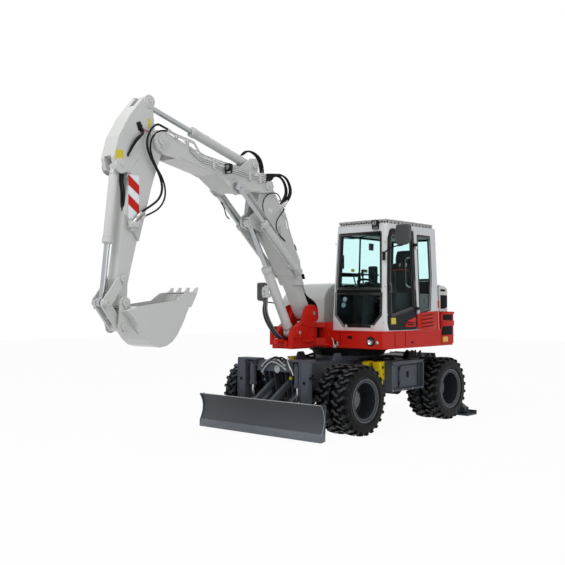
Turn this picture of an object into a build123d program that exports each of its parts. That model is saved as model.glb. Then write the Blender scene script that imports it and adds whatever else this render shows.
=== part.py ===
import os
from math import atan2, cos, hypot, pi, radians, sin, sqrt

from build123d import *

# Wheeled excavator with twin tyres, a front blade, rear stabilisers, a swinging two-piece boom and a cab.
# Millimetres. X forward, Y to the machine's left, Z up, ground at Z = 0.
# Places along X are measured from the slewing axis, which stands at slew_x.

os.makedirs("parts", exist_ok=True)

slew_x = -1333.0
pin_gap = 0.3
side_gap = 5.0

# Running gear
wheelbase = 2240.0
front_axle_x = wheelbase / 2
rear_axle_x = -wheelbase / 2
tyre_radius = 485.0
tyre_width = 250.0
tyre_pitch = 275.0
twin_centre_y = 877.5
bead_radius = 257.0
flange_radius = 292.0
casing = 26.0
rim_wall = 8.0
hub_radius = 120.0
hub_face_radius = 100.0
spindle_radius = 60.0
king_pin_y = 600.0
steer_arm = 210.0
axle_radius = 85.0
diff_radius = 165.0

# Chassis
spine_half = 340.0
spine_bottom = 620.0
spine_top = 960.0
spine_front = front_axle_x + 240
spine_rear = rear_axle_x - 580
spine_wall = 20.0
turret_radius = 520.0
ring_top = 1155.0
box_front = front_axle_x - 820
box_rear = rear_axle_x + 560
box_side = 1000.0
box_bottom = 530.0
box_top = 955.0
box_recess = 45.0

# Blade
blade_face = front_axle_x + 950
blade_half = 1138.0
blade_bottom = 31.5
blade_top = 506.0
blade_plate = 20.0
arm_foot = (front_axle_x + 340, 550.0)
arm_tip = (blade_face - 150, 260.0)
link_rise = (40.0, 190.0)
blade_pin = 25.0
arm_y = 245.0
link_y = 150.0
arm_width = 60.0
blade_cyl_y = 420.0
post_x = front_axle_x + 480
blade_cyl_base = (post_x + 105, 968.0)
blade_cyl_share = 0.515
lifting_hole = (62.0, 32.0)  # behind the face, below the top

# Stabilisers
leg_x = spine_rear - 90
leg_pivot = (400.0, 550.0)
leg_foot = (975.0, 92.0)
leg_width = 108.0
leg_pin = 25.0
pad_size = (300.0, 300.0)
pad_y = 990.0
pad_plate = 20.0
stab_cyl_base = (250.0, 900.0)
stab_cyl_pin = (745.0, 385.0)

# Upper structure
deck_bottom = ring_top + pin_gap
deck_plate = 30.0
deck_top = 1410.0
deck_front = 640.0
deck_half = 1080.0
deck_wall = 20.0
deck_rear = -948.0
tail_radius = 1700.0
tail_top = 1680.0
tail_inner_x = -(tail_radius - 270)
tail_wall = 36.0
tail_inner_half = deck_half - 180
hood_radius = tail_radius - 125
hood_top = 2100.0
hood_half = deck_half - 30
hood_front = -950.0
hood_wall = 15.0
side_hood_front = 420.0
side_hood_left = -160.0
side_hood_right = -(deck_half - 20)
side_hood_top = 2125.0
side_hood_wall = 12.0

# Cab
cab_front = 531.0
cab_rear = -925.0
cab_left = deck_half
cab_right = 65.0
cab_floor = deck_top
cab_roof = 2965.0
cab_height = cab_roof - deck_top
cab_lean_front = 75.0
cab_lean_rear = 25.0
cab_lean_side = 55.0
cab_wall = 45.0
glass = 6.0
door_rear = -262.0
door_gap = 6.0
door_hinge_out = 30.0
hinge_rise = 44.0

# Boom and stick
boom_y = -100.0
swing_pivot_x = 840.0
boom_foot = (972.0, 1663.0)
boom_joint = (1932.0, 3425.0)
boom_cyl_base = (1280.0, 1390.0)
boom_cyl_pin = (2115.0, 2925.0)
adjust_base = (1360.0, 2260.0)
adjust_pin = (2560.0, 3345.0)
adjust_y = 235.0
stick_pivot = (3810.0, 3775.0)
stick_cyl_base = (2115.0, 3692.0)
stick_cyl_pin = (3963.0, 4222.0)
lever_pivot = (4326.0, 2090.0)
bucket_pivot = (4313.0, 1811.0)
crank_pin = (4547.0, 1811.0)
link_pin = (4332.0, 1533.0)
bucket_cyl_base = (4370.0, 3400.0)
lower_half = 150.0
lower_head_half = 125.0
foot_half = 95.0
upper_half = 172.0
fork_inner = 132.0
stick_half = 127.0
tip_half = 88.0
tip_boss_half = 112.0
bucket_half = 245.0
bucket_wall = 14.0
tooth_pitch = 154.0
boom_pin = 45.0
swing_pin = 45.0
small_pin = 32.0

# Swing cylinder, in plan from the slewing axis
swing_cyl_base = (-250.0, -620.0)
swing_cyl_pin = (1060.0, -410.0)
swing_cyl_z = 1258.0


def side_plane(y=0.0):
    return Plane(origin=(slew_x, y, 0), x_dir=(1, 0, 0), z_dir=(0, -1, 0))


def plan_plane(z=0.0):
    return Plane(origin=(slew_x, 0, z), x_dir=(1, 0, 0), z_dir=(0, 0, 1))


def front_plane(x=0.0):
    return Plane(origin=(slew_x + x, 0, 0), x_dir=(0, 1, 0), z_dir=(1, 0, 0))


def place(x, y, z):
    return Vector(slew_x + x, y, z)


def slab(plane, points, thick, rounding=0.0, mode=Mode.ADD):
    # a polygon plate, centred on its plane
    with BuildSketch(plane) as outline:
        with BuildLine():
            Polyline(*points, close=True)
        make_face()
        if rounding:
            fillet(outline.vertices(), rounding)
    extrude(outline.sketch, amount=thick / 2, both=True, mode=mode)


def disc(plane, centre, radius, thick, mode=Mode.ADD):
    with BuildSketch(plane) as outline:
        with Locations(centre):
            Circle(radius)
    extrude(outline.sketch, amount=thick / 2, both=True, mode=mode)


def block(x_range, y_range, z_range, mode=Mode.ADD):
    with BuildSketch(plan_plane(z_range[0])) as outline:
        with Locations(((x_range[0] + x_range[1]) / 2, (y_range[0] + y_range[1]) / 2)):
            Rectangle(x_range[1] - x_range[0], y_range[1] - y_range[0])
    extrude(outline.sketch, amount=z_range[1] - z_range[0], mode=mode)


def finish(piece, label):
    piece.part.label = label
    export_step(piece.part, f"parts/{label}.step")


# Hydraulic cylinders
# columns: barrel radius, barrel length from base pin, rod radius, rod length from rod pin,
#          eye radius, eye width, base pin radius
cylinder_sizes = {
    "boom": (68.0, 1050.0, 37.0, 920.0, 75.0, 100.0, 40.0),
    "adjust": (48.0, 969.0, 29.0, 850.0, 55.0, 50.0, 32.0),
    "stick": (60.0, 1121.0, 35.0, 1080.0, 60.0, 70.0, 35.0),
    "bucket": (56.0, 905.0, 34.0, 790.0, 52.0, 60.0, 30.0),
    "swing": (55.0, 800.0, 32.0, 880.0, 52.0, 46.0, 30.0),
    "blade": (46.0, 312.0, 24.0, 314.0, 36.0, 40.0, 20.0),
    "stab": (46.0, 330.0, 22.0, 440.0, 36.0, 44.0, 20.0),
}


def cylinder_frame(base, tip, pin_axis):
    return Plane(origin=base, x_dir=tip - base, z_dir=pin_axis)


def barrel(kind, base, tip, pin_axis):
    outer, length, rod_radius, rod_length, eye, eye_width, pin = cylinder_sizes[kind]
    frame = cylinder_frame(base, tip, pin_axis)
    bore = rod_radius + pin_gap
    gland = outer + 8
    bottom = eye + 8
    with BuildSketch(frame) as outline:
        with BuildLine():
            Polyline(
                (eye * 0.5, 0), (eye * 0.5, outer * 0.8), (bottom, outer), (length - 45, outer),
                (length - 45, gland), (length - 8, gland), (length, outer), (length, bore),
                (bottom, bore), (bottom, 0), close=True,
            )
        make_face()
    revolve(outline.sketch, axis=Axis(frame.origin, frame.x_dir))
    disc(frame, (0, 0), eye, eye_width)
    disc(frame, (0, 0), pin + pin_gap, 2 * gland + 4, mode=Mode.SUBTRACT)


def rod(kind, base, tip, pin_axis):
    outer, length, rod_radius, rod_length, eye, eye_width, pin = cylinder_sizes[kind]
    frame = cylinder_frame(base, tip, pin_axis)
    reach = (tip - base).length
    with BuildSketch(frame) as outline:
        with BuildLine():
            Polyline(
                (reach - rod_length, 0), (reach - rod_length, rod_radius), (reach - eye - 12, rod_radius),
                (reach - eye - 12, rod_radius + 8), (reach - eye * 0.5, rod_radius + 8), (reach - eye * 0.5, 0),
                close=True,
            )
        make_face()
    revolve(outline.sketch, axis=Axis(frame.origin, frame.x_dir))
    disc(frame, (reach, 0), eye, eye_width)


# Chassis
brace_top = 1000.0
cheek_rows = ((103.5, 17.0), (197.5, 19.0), (292.5, 15.0))
link_foot = (arm_foot[0] + link_rise[0], arm_foot[1] + link_rise[1])
link_tip = (arm_tip[0] + link_rise[0], arm_tip[1] + link_rise[1])
leg_beam_half = 300.0
leg_beam_top = 975.0
leg_ear_outer = 460.0
leg_ear = 30.0

with BuildPart() as chassis_frame:
    block((spine_rear, spine_front), (-spine_half, spine_half), (spine_bottom, spine_top))
    block(
        (spine_rear + 60, spine_front - spine_wall),
        (-spine_half + spine_wall, spine_half - spine_wall),
        (spine_bottom - 1, spine_top - spine_wall),
        mode=Mode.SUBTRACT,
    )
    for rib_x in (rear_axle_x, rear_axle_x + 620, front_axle_x - 620, front_axle_x):
        block(
            (rib_x - 150, rib_x - 130),
            (-spine_half + spine_wall / 2, spine_half - spine_wall / 2),
            (spine_bottom, spine_top - spine_wall / 2),
        )
        block(
            (rib_x + 130, rib_x + 150),
            (-spine_half + spine_wall / 2, spine_half - spine_wall / 2),
            (spine_bottom, spine_top - spine_wall / 2),
        )
    disc(plan_plane(1010), (0, 0), turret_radius, 100)
    disc(plan_plane(1030), (0, 0), turret_radius - 130, 200, mode=Mode.SUBTRACT)
    # seats that hold the axles
    for axle_x in (front_axle_x, rear_axle_x):
        for seat_y in (-250.0, 250.0):
            block(
                (axle_x - 140, axle_x + 140),
                (seat_y - 80, seat_y + 80),
                (spine_bottom, spine_bottom + 20),
            )
            block((axle_x - 70, axle_x + 70), (seat_y - 40, seat_y + 40), (570, spine_bottom + 10))
    # front: top brace, cheek plates, wings and posts
    block((spine_front - 20, post_x + 100), (-spine_half, spine_half), (860, brace_top))
    for cheek_y, cheek_thick in cheek_rows:
        for side in (-1, 1):
            slab(
                side_plane(side * cheek_y),
                [
                    (spine_front - 20, 640), (arm_foot[0] - 60, 480), (arm_foot[0] + 85, 480),
                    (arm_foot[0] + 120, 700), (post_x + 20, 870), (spine_front - 20, 870),
                ],
                cheek_thick,
            )
    for side in (-1, 1):
        block((post_x, post_x + 170), sorted((side * 300.0, side * 662.0)), (1010, 1030))
        block((post_x + 40, post_x + 170), sorted((side * 512.0, side * 532.0)), (460, 1020))
        block((post_x, post_x + 100), sorted((side * 300.0, side * spine_half)), (990, 1030))
        block((post_x + 102, post_x + 170), sorted((side * 512.0, side * 662.0)), (460, 1020))
        for ear_y in (blade_cyl_y - 64, blade_cyl_y + 64):
            slab(
                side_plane(side * ear_y),
                [
                    (post_x + 65, 950), (post_x + 85, 930), (post_x + 125, 930), (post_x + 145, 950),
                    (post_x + 155, 1015), (post_x + 50, 1015),
                ],
                16,
            )
        disc(side_plane(side * blade_cyl_y), blade_cyl_base, cylinder_sizes["blade"][6], 144)
        for pin_at, pin_y, pin_span in ((arm_foot, arm_y, 110), (link_foot, link_y, 110)):
            disc(side_plane(side * pin_y), pin_at, blade_pin, pin_span)
    # rear crossbeam with the ears of the stabiliser legs
    block((leg_x - 90, spine_rear + 10), (-leg_beam_half, leg_beam_half), (500, leg_beam_top))
    # hollow of the rear crossbeam, and the ways out for the legs' cylinders
    block((leg_x - 60, spine_rear + 80), (30 - leg_beam_half, leg_beam_half - 30), (499, leg_beam_top - 20),
          mode=Mode.SUBTRACT)
    block((leg_x - 60, leg_x + 60), (-leg_beam_half - 1, leg_beam_half + 1), (760, leg_beam_top - 20),
          mode=Mode.SUBTRACT)
    for side in (-1, 1):
        for ear_x in (leg_x - 75, leg_x + 75):
            slab(
                front_plane(ear_x),
                [
                    (side * 200, 490), (side * 430, 490), (side * leg_ear_outer, 560),
                    (side * 440, 800), (side * 400, leg_beam_top), (side * 200, leg_beam_top),
                ],
                leg_ear,
            )
        disc(front_plane(leg_x), (side * leg_pivot[0], leg_pivot[1]), leg_pin, 160)
        disc(front_plane(leg_x), (side * stab_cyl_base[0], stab_cyl_base[1]), 20, 160)
finish(chassis_frame, "chassis_frame")

with BuildPart() as tool_boxes:
    for side in (-1, 1):
        inner, outer = spine_half, box_side
        block((box_rear, box_front), sorted((side * inner, side * outer)), (box_bottom, box_top))
        block(
            (box_rear + 30, box_front - 30),
            sorted((side * (outer - box_recess), side * (outer + 1))),
            (box_bottom + 30, box_top - 40),
            mode=Mode.SUBTRACT,
        )
        block(
            (box_rear + 12, box_front - 12),
            sorted((side * (inner + 12), side * (outer - box_recess - 12))),
            (box_bottom - 1, box_top - 12),
            mode=Mode.SUBTRACT,
        )
        slab(
            side_plane(side * (outer - box_recess + 6)),
            [
                (box_rear + 160, 575), (box_front - 230, 575), (box_front - 230, 830), (box_front - 280, 895),
                (box_rear + 160, 895),
            ],
            16,
        )
finish(tool_boxes, "tool_boxes")

with BuildPart() as slew_ring:
    disc(plan_plane((1060 + ring_top) / 2), (0, 0), turret_radius + 30, ring_top - 1060)
    disc(plan_plane((1060 + ring_top) / 2), (0, 0), turret_radius - 100, ring_top - 1060 + 2, mode=Mode.SUBTRACT)
finish(slew_ring, "slew_ring")


# Axles
def axle_body(axle_x, reach):
    axle = side_plane()
    disc(axle, (axle_x, tyre_radius), axle_radius, 2 * reach)
    disc(axle, (axle_x, tyre_radius), diff_radius, 300)
    for seat_y in (-250.0, 250.0):
        block((axle_x - 70, axle_x + 70), (seat_y - 40, seat_y + 40), (tyre_radius, 570))


with BuildPart() as front_axle:
    axle_body(front_axle_x, 500)
    for side in (-1, 1):
        for ear_z in (tyre_radius - 172, tyre_radius + 140):
            block(
                (front_axle_x - 55, front_axle_x + 55),
                sorted((side * 470, side * 655)),
                (ear_z, ear_z + 32),
            )
        block(
            (front_axle_x - 55, front_axle_x + 55),
            sorted((side * 470, side * 495)),
            (tyre_radius - 172, tyre_radius + 172),
        )
        disc(plan_plane(tyre_radius), (front_axle_x, side * king_pin_y), 28, 340)
finish(front_axle, "front_axle")

with BuildPart() as rear_axle:
    axle_body(rear_axle_x, 690)
    disc(side_plane(), (rear_axle_x, tyre_radius), spindle_radius, 2 * 828)
finish(rear_axle, "rear_axle")

with BuildPart() as driveline:
    block((-170, 170), (-170, 170), (395, spine_bottom + 5))
    block((-120, 120), (-120, 120), (spine_bottom + 5, spine_top - spine_wall))
    disc(front_plane(), (0, tyre_radius), 34, 2 * (front_axle_x - diff_radius))
finish(driveline, "driveline")


def knuckle(side):
    with BuildPart() as name:
        disc(plan_plane(tyre_radius), (front_axle_x, side * king_pin_y), 58, 276)
        disc(
            plan_plane(tyre_radius), (front_axle_x, side * king_pin_y), 28 + pin_gap, 278, mode=Mode.SUBTRACT
        )
        with BuildSketch(side_plane(side * (king_pin_y + 40))):
            with Locations((front_axle_x, tyre_radius)):
                Circle(spindle_radius)
        extrude(amount=-side * (828 - king_pin_y - 40))
        block(
            (front_axle_x - steer_arm - 30, front_axle_x - 40),
            sorted((side * 535, side * 590)),
            (360, 390),
        )
        block((front_axle_x - 75, front_axle_x - 35), sorted((side * 545, side * 590)), (385, 440))
    finish(name, "knuckle_left" if side > 0 else "knuckle_right")


for side in (-1, 1):
    knuckle(side)

with BuildPart() as steering_rod:
    disc(side_plane(), (front_axle_x - steer_arm, 412), 17, 2 * 540)
    for side in (-1, 1):
        disc(plan_plane(390 + pin_gap + 20), (front_axle_x - steer_arm, side * 560), 26, 40)
finish(steering_rod, "steering_rod")

# Wheels
inner_twin_y = twin_centre_y - tyre_pitch / 2
outer_twin_y = twin_centre_y + tyre_pitch / 2
bead_half = 118.0
flange = 9.0


def rim_outline(side):
    # columns: radius, distance from the machine's middle
    a0, a1 = inner_twin_y - bead_half, inner_twin_y + bead_half
    b0, b1 = outer_twin_y - bead_half, outer_twin_y + bead_half
    well = bead_radius - rim_wall
    disc_in, disc_out = a1 + 4, a1 + 21
    rows = [
        (flange_radius, a0), (flange_radius, a0 + flange), (bead_radius, a0 + flange),
        (bead_radius, a1 - flange), (flange_radius, a1 - flange), (flange_radius, a1),
        (well + 4, a1), (well + 4, b0), (flange_radius, b0), (flange_radius, b0 + flange),
        (bead_radius, b0 + flange), (bead_radius, b1 - flange), (flange_radius, b1 - flange),
        (flange_radius, b1), (well, b1), (well, disc_out), (hub_face_radius, disc_out),
        (hub_face_radius, disc_out + 42), (0, disc_out + 42), (0, 836), (spindle_radius + pin_gap, 836),
        (spindle_radius + pin_gap, 705), (hub_radius, 705), (hub_radius, disc_in), (well, disc_in), (well, a0),
    ]
    return [(side * y, r) for r, y in rows]


def tyre_outline(centre_y, side):
    half = tyre_width / 2
    seat = bead_half - flange - pin_gap
    inner_seat = bead_radius + pin_gap
    crown = tyre_radius
    rows = [
        (inner_seat, -seat), (flange_radius + 2, -seat), (370, -half), (440, -half + 8), (crown - 12, -half + 22),
        (crown, -half + 40), (crown, half - 40), (crown - 12, half - 22), (440, half - 8), (370, half),
        (flange_radius + 2, seat), (inner_seat, seat), (inner_seat, seat - casing),
        (flange_radius + 2, seat - casing), (370, half - casing), (crown - 62, half - 40),
        (crown - 62, -half + 40), (370, -half + casing), (flange_radius + 2, -seat + casing),
        (inner_seat, -seat + casing),
    ]
    return [(side * (centre_y + y), r) for r, y in rows]


wheel_places = (
    ("front_left", front_axle_x, 1), ("front_right", front_axle_x, -1),
    ("rear_left", rear_axle_x, 1), ("rear_right", rear_axle_x, -1),
)


def wheel_profile(axle_x, outline):
    with BuildSketch(Plane(origin=place(axle_x, 0, tyre_radius), x_dir=(0, 1, 0), z_dir=(1, 0, 0))) as section:
        with BuildLine():
            Polyline(*outline, close=True)
        make_face()
    revolve(section.sketch, axis=Axis(place(axle_x, 0, tyre_radius), (0, 1, 0)))


def wheel(label, axle_x, side):
    with BuildPart() as rims:
        wheel_profile(axle_x, rim_outline(side))
    finish(rims, "rims_" + label)
    with BuildPart() as tyres:
        for centre_y in (inner_twin_y, outer_twin_y):
            wheel_profile(axle_x, tyre_outline(centre_y, side))
    finish(tyres, "tyres_" + label)


for label, axle_x, side in wheel_places:
    wheel(label, axle_x, side)

# Blade
arm_length = hypot(arm_tip[0] - arm_foot[0], arm_tip[1] - arm_foot[1])
blade_cyl_pin = (
    arm_foot[0] + blade_cyl_share * (arm_tip[0] - arm_foot[0]),
    arm_foot[1] + blade_cyl_share * (arm_tip[1] - arm_foot[1]),
)

with BuildPart() as blade:
    with BuildSketch(side_plane()):
        with BuildLine():
            ThreePointArc(
                (blade_face, blade_bottom + 90), (blade_face - 62, (blade_bottom + blade_top) / 2 + 45),
                (blade_face, blade_top),
            )
            Line((blade_face, blade_top), (blade_face - blade_plate, blade_top))
            ThreePointArc(
                (blade_face - blade_plate, blade_top),
                (blade_face - 62 - blade_plate, (blade_bottom + blade_top) / 2 + 45),
                (blade_face - blade_plate, blade_bottom + 90),
            )
            Line((blade_face - blade_plate, blade_bottom + 90), (blade_face, blade_bottom + 90))
        make_face()
    extrude(amount=blade_half - 10, both=True)
    slab(
        side_plane(),
        [
            (blade_face - 22, blade_bottom + 115), (blade_face - 4, blade_bottom + 115),
            (blade_face + 12, blade_bottom), (blade_face - 8, blade_bottom),
        ],
        2 * blade_half,
    )
    slab(
        side_plane(),
        [
            (blade_face - 140, 110), (blade_face - 18, 110), (blade_face - 18, 125), (blade_face - 40, 160),
            (blade_face - 60, 205), (blade_face - 140, 205),
        ],
        2 * (blade_half - 130),
    )
    for side in (-1, 1):
        slab(
            side_plane(side * (blade_half - 6)),
            [
                (blade_face - 75, blade_bottom + 10), (blade_face + 10, blade_bottom),
                (blade_face + 10, blade_top - 90), (blade_face + 20, blade_top - 40),
                (blade_face + 5, blade_top), (blade_face - 85, blade_top), (blade_face - 97, blade_top - 25),
                (blade_face - 80, blade_top - 110),
            ],
            12,
        )
        disc(
            side_plane(side * (blade_half - 6)), (blade_face - lifting_hole[0], blade_top - lifting_hole[1]), 15,
            20, mode=Mode.SUBTRACT,
        )
        for ear_y, ear_thick in cheek_rows:
            slab(
                side_plane(side * ear_y),
                [
                    (blade_face - 185, 225), (blade_face - 135, 150), (blade_face - 36, 150),
                    (blade_face - 70, 230), (blade_face - 78, 314), (blade_face - 70, 400),
                    (blade_face - 34, 485), (blade_face - 110, 492), (blade_face - 145, 460),
                    (blade_face - 185, 300),
                ],
                ear_thick,
            )
        disc(side_plane(side * arm_y), arm_tip, blade_pin, 110)
        disc(side_plane(side * link_y), link_tip, blade_pin, 110)
finish(blade, "blade")


def arm_bar(side, y, foot, tip, depth):
    frame = Plane(origin=place(foot[0], side * y, foot[1]), x_dir=(tip[0] - foot[0], 0, tip[1] - foot[1]),
                  z_dir=(0, -1, 0))
    with BuildSketch(frame) as outline:
        with Locations((arm_length / 2, 0)):
            SlotOverall(arm_length + depth, depth)
        with Locations((0, 0), (arm_length, 0)):
            Circle(blade_pin + pin_gap, mode=Mode.SUBTRACT)
    extrude(outline.sketch, amount=arm_width / 2, both=True)


with BuildPart() as blade_arms:
    for side in (-1, 1):
        arm_bar(side, arm_y, arm_foot, arm_tip, 84)
    disc(side_plane(), blade_cyl_pin, 30, 2 * (blade_cyl_y - 35))
finish(blade_arms, "blade_arms")

with BuildPart() as blade_links:
    for side in (-1, 1):
        arm_bar(side, link_y, link_foot, link_tip, 74)
finish(blade_links, "blade_links")

with BuildPart() as blade_barrels:
    for side in (-1, 1):
        y = side * blade_cyl_y
        barrel("blade", place(blade_cyl_base[0], y, blade_cyl_base[1]),
               place(blade_cyl_pin[0], y, blade_cyl_pin[1]), (0, -1, 0))
finish(blade_barrels, "blade_barrels")

with BuildPart() as blade_rods:
    for side in (-1, 1):
        y = side * blade_cyl_y
        rod("blade", place(blade_cyl_base[0], y, blade_cyl_base[1]),
            place(blade_cyl_pin[0], y, blade_cyl_pin[1]), (0, -1, 0))
finish(blade_rods, "blade_rods")


# Stabilisers
def stabiliser(side):
    label = "left" if side > 0 else "right"
    plane = front_plane(leg_x)
    with BuildPart() as leg:
        slab(
            plane,
            [
                (side * 372, 512), (side * 425, 500), (side * 930, 60), (side * 1025, 60), (side * 1025, 125),
                (side * 960, 165), (side * 445, 600), (side * 385, 600),
            ],
            leg_width,
        )
        disc(plane, (side * leg_pivot[0], leg_pivot[1]), 56, leg_width)
        disc(plane, (side * leg_pivot[0], leg_pivot[1]), leg_pin + pin_gap, leg_width + 2, mode=Mode.SUBTRACT)
        # lugs that take the rod, each side of its eye
        for lug_x in (leg_x - 44, leg_x + 44):
            slab(
                front_plane(lug_x),
                [(side * 640, 400), (side * 860, 215), (side * 825, 380), (side * 775, 430), (side * 715, 430)],
                20,
            )
        # room for the rod's eye
        disc(plane, (side * stab_cyl_pin[0], stab_cyl_pin[1]), 78, 67, mode=Mode.SUBTRACT)
        block(
            (leg_x - pad_size[0] / 2, leg_x + pad_size[0] / 2),
            sorted((side * (pad_y - pad_size[1] / 2), side * (pad_y + pad_size[1] / 2))),
            (0, pad_plate),
        )
        for lip_x in (leg_x - pad_size[0] / 2, leg_x + pad_size[0] / 2 - 14):
            block(
                (lip_x, lip_x + 14),
                sorted((side * (pad_y - pad_size[1] / 2), side * (pad_y + pad_size[1] / 2))),
                (0, 70),
            )
        for foot_x in (leg_x - 66, leg_x + 54):
            block((foot_x, foot_x + 14), sorted((side * 925, side * 1040)), (pad_plate, 120))
        disc(plane, (side * leg_foot[0], leg_foot[1]), 18, 140)
    finish(leg, "stabiliser_leg_" + label)
    base = place(leg_x, side * stab_cyl_base[0], stab_cyl_base[1])
    tip = place(leg_x, side * stab_cyl_pin[0], stab_cyl_pin[1])
    with BuildPart() as tube:
        barrel("stab", base, tip, (1, 0, 0))
    finish(tube, "stabiliser_barrel_" + label)
    with BuildPart() as bar:
        rod("stab", base, tip, (1, 0, 0))
    finish(bar, "stabiliser_rod_" + label)


for side in (-1, 1):
    stabiliser(side)


# Upper structure
def tail_sketch(radius, half, front):
    # the round rear end, cut off at both sides and in front
    Circle(radius)
    with Locations(((front - radius - 10) / 2, 0)):
        Rectangle(front + radius + 10, 2 * half, mode=Mode.INTERSECT)


with BuildPart() as upper_frame:
    # bottom plate under everything
    with BuildSketch(plan_plane(deck_bottom)):
        with Locations(((deck_front + deck_rear) / 2, 0)):
            Rectangle(deck_front - deck_rear, 2 * deck_half)
    extrude(amount=deck_plate)
    with BuildSketch(plan_plane(deck_bottom)):
        tail_sketch(tail_radius - 12, deck_half - 12, deck_rear + 5)
    extrude(amount=deck_plate)
    # belt
    block((deck_rear, deck_front), (-deck_half, deck_half), (deck_bottom + deck_plate, deck_top))
    block(
        (deck_rear - 1, deck_front - deck_wall),
        (-deck_half + deck_wall, deck_half - deck_wall),
        (deck_bottom + deck_plate, deck_top - deck_wall),
        mode=Mode.SUBTRACT,
    )
    # way out for the swing cylinder
    block((deck_front - 60, deck_front + 1), (-700, -320), (deck_bottom + deck_plate, deck_top - deck_wall),
          mode=Mode.SUBTRACT)
    # nose that holds the swing post
    block((545, 690), (boom_y - 200, boom_y + 200), (deck_bottom, 1525))
    block((430, 550), (boom_y - 200, cab_right - 20), (deck_bottom, 1525))
    for lug_z, lug_thick in ((1245, 110), (1490, 70)):
        with BuildSketch(plan_plane(lug_z - lug_thick / 2)):
            with Locations((swing_pivot_x, boom_y)):
                Circle(130)
            with BuildLine():
                Polyline(
                    (680, boom_y - 200), (swing_pivot_x, boom_y - 130), (swing_pivot_x, boom_y + 130),
                    (680, boom_y + 200), close=True,
                )
            make_face()
        extrude(amount=lug_thick)
    disc(plan_plane(1365), (swing_pivot_x, boom_y), swing_pin, 340)
    # post that carries the swing cylinder's barrel
    disc(plan_plane((deck_bottom + deck_top) / 2), swing_cyl_base, 30, deck_top - deck_bottom - 10)
    # wall behind the cab
    block((deck_rear + 2, cab_rear - 5), (-hood_half, hood_half), (deck_top - 10, hood_top - 20))
finish(upper_frame, "upper_frame")

with BuildPart() as counterweight:
    with BuildSketch(plan_plane(deck_bottom + deck_plate)):
        tail_sketch(tail_radius, deck_half, deck_rear)
    extrude(amount=tail_top - deck_bottom - deck_plate)
    with BuildSketch(plan_plane(deck_bottom + deck_plate)) as pocket:
        with Locations(((tail_inner_x + deck_rear + 1) / 2, 0)):
            Rectangle(deck_rear + 1 - tail_inner_x, 2 * tail_inner_half)
        Circle(tail_radius - tail_wall, mode=Mode.INTERSECT)
    extrude(pocket.sketch, amount=tail_top - deck_bottom - deck_plate, mode=Mode.SUBTRACT)
finish(counterweight, "counterweight")

with BuildPart() as engine_hood:
    with BuildSketch(plan_plane(tail_top + pin_gap)):
        tail_sketch(hood_radius, hood_half, hood_front)
    extrude(amount=hood_top - tail_top - pin_gap)
    with BuildSketch(plan_plane(tail_top)):
        tail_sketch(hood_radius - hood_wall, hood_half - hood_wall, hood_front + 1)
    extrude(amount=hood_top - tail_top - hood_wall, mode=Mode.SUBTRACT)
finish(engine_hood, "engine_hood")

with BuildPart() as engine:
    block((-1400, -990), (-480, 480), (1255, 1890))
    for foot_x in (-1360, -1080):
        for foot_y in (-380, 300):
            block((foot_x, foot_x + 60), (foot_y, foot_y + 80), (deck_bottom + deck_plate, 1260))
finish(engine, "engine")

with BuildPart() as side_hood:
    with BuildSketch(plan_plane(deck_top)) as outline:
        with Locations(((side_hood_front + cab_rear) / 2, (side_hood_left + side_hood_right) / 2)):
            Rectangle(side_hood_front - cab_rear, side_hood_left - side_hood_right)
        fillet(outline.vertices().sort_by(Axis.X)[-2:], 70)
    extrude(amount=side_hood_top - deck_top)
    fillet(side_hood.faces().sort_by(Axis.Z)[-1].edges().sort_by(Axis.X)[-3:], 60)
    block(
        (cab_rear + side_hood_wall, side_hood_front - 70),
        (side_hood_right + side_hood_wall, side_hood_left - side_hood_wall),
        (deck_top - 1, side_hood_top - 70),
        mode=Mode.SUBTRACT,
    )
finish(side_hood, "side_hood")

# Cab


def lean(z):
    # how far up the wall a height is, from 0 at the floor to 1 at the roof
    return (z - cab_floor) / cab_height


def cab_corners(z, inset):
    t = lean(z)
    return (
        cab_rear + cab_lean_rear * t + inset, cab_front - cab_lean_front * t - inset,
        cab_right + cab_lean_side * t + inset, cab_left - cab_lean_side * t - inset,
    )


def cab_loft(z_low, z_high, inset, rounding, mode=Mode.ADD):
    faces = []
    for z in (z_low, z_high):
        x0, x1, y0, y1 = cab_corners(z, inset)
        with BuildSketch(plan_plane(z)) as outline:
            with Locations(((x0 + x1) / 2, (y0 + y1) / 2)):
                RectangleRounded(x1 - x0, y1 - y0, rounding)
        faces.append(outline.sketch)
    loft(faces, mode=mode)


def wall_plane(side):
    # planes on the outer faces of the leaning walls; local x runs forward or left, local y up the wall
    if side == "left":
        return Plane(origin=place(0, cab_left, cab_floor), x_dir=(1, 0, 0), z_dir=(0, -cab_height, -cab_lean_side))
    if side == "right":
        return Plane(origin=place(0, cab_right, cab_floor), x_dir=(1, 0, 0), z_dir=(0, -cab_height, cab_lean_side))
    if side == "front":
        return Plane(origin=place(cab_front, 0, cab_floor), x_dir=(0, 1, 0), z_dir=(cab_height, 0, cab_lean_front))
    return Plane(origin=place(cab_rear, 0, cab_floor), x_dir=(0, 1, 0), z_dir=(cab_height, 0, -cab_lean_rear))


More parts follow.
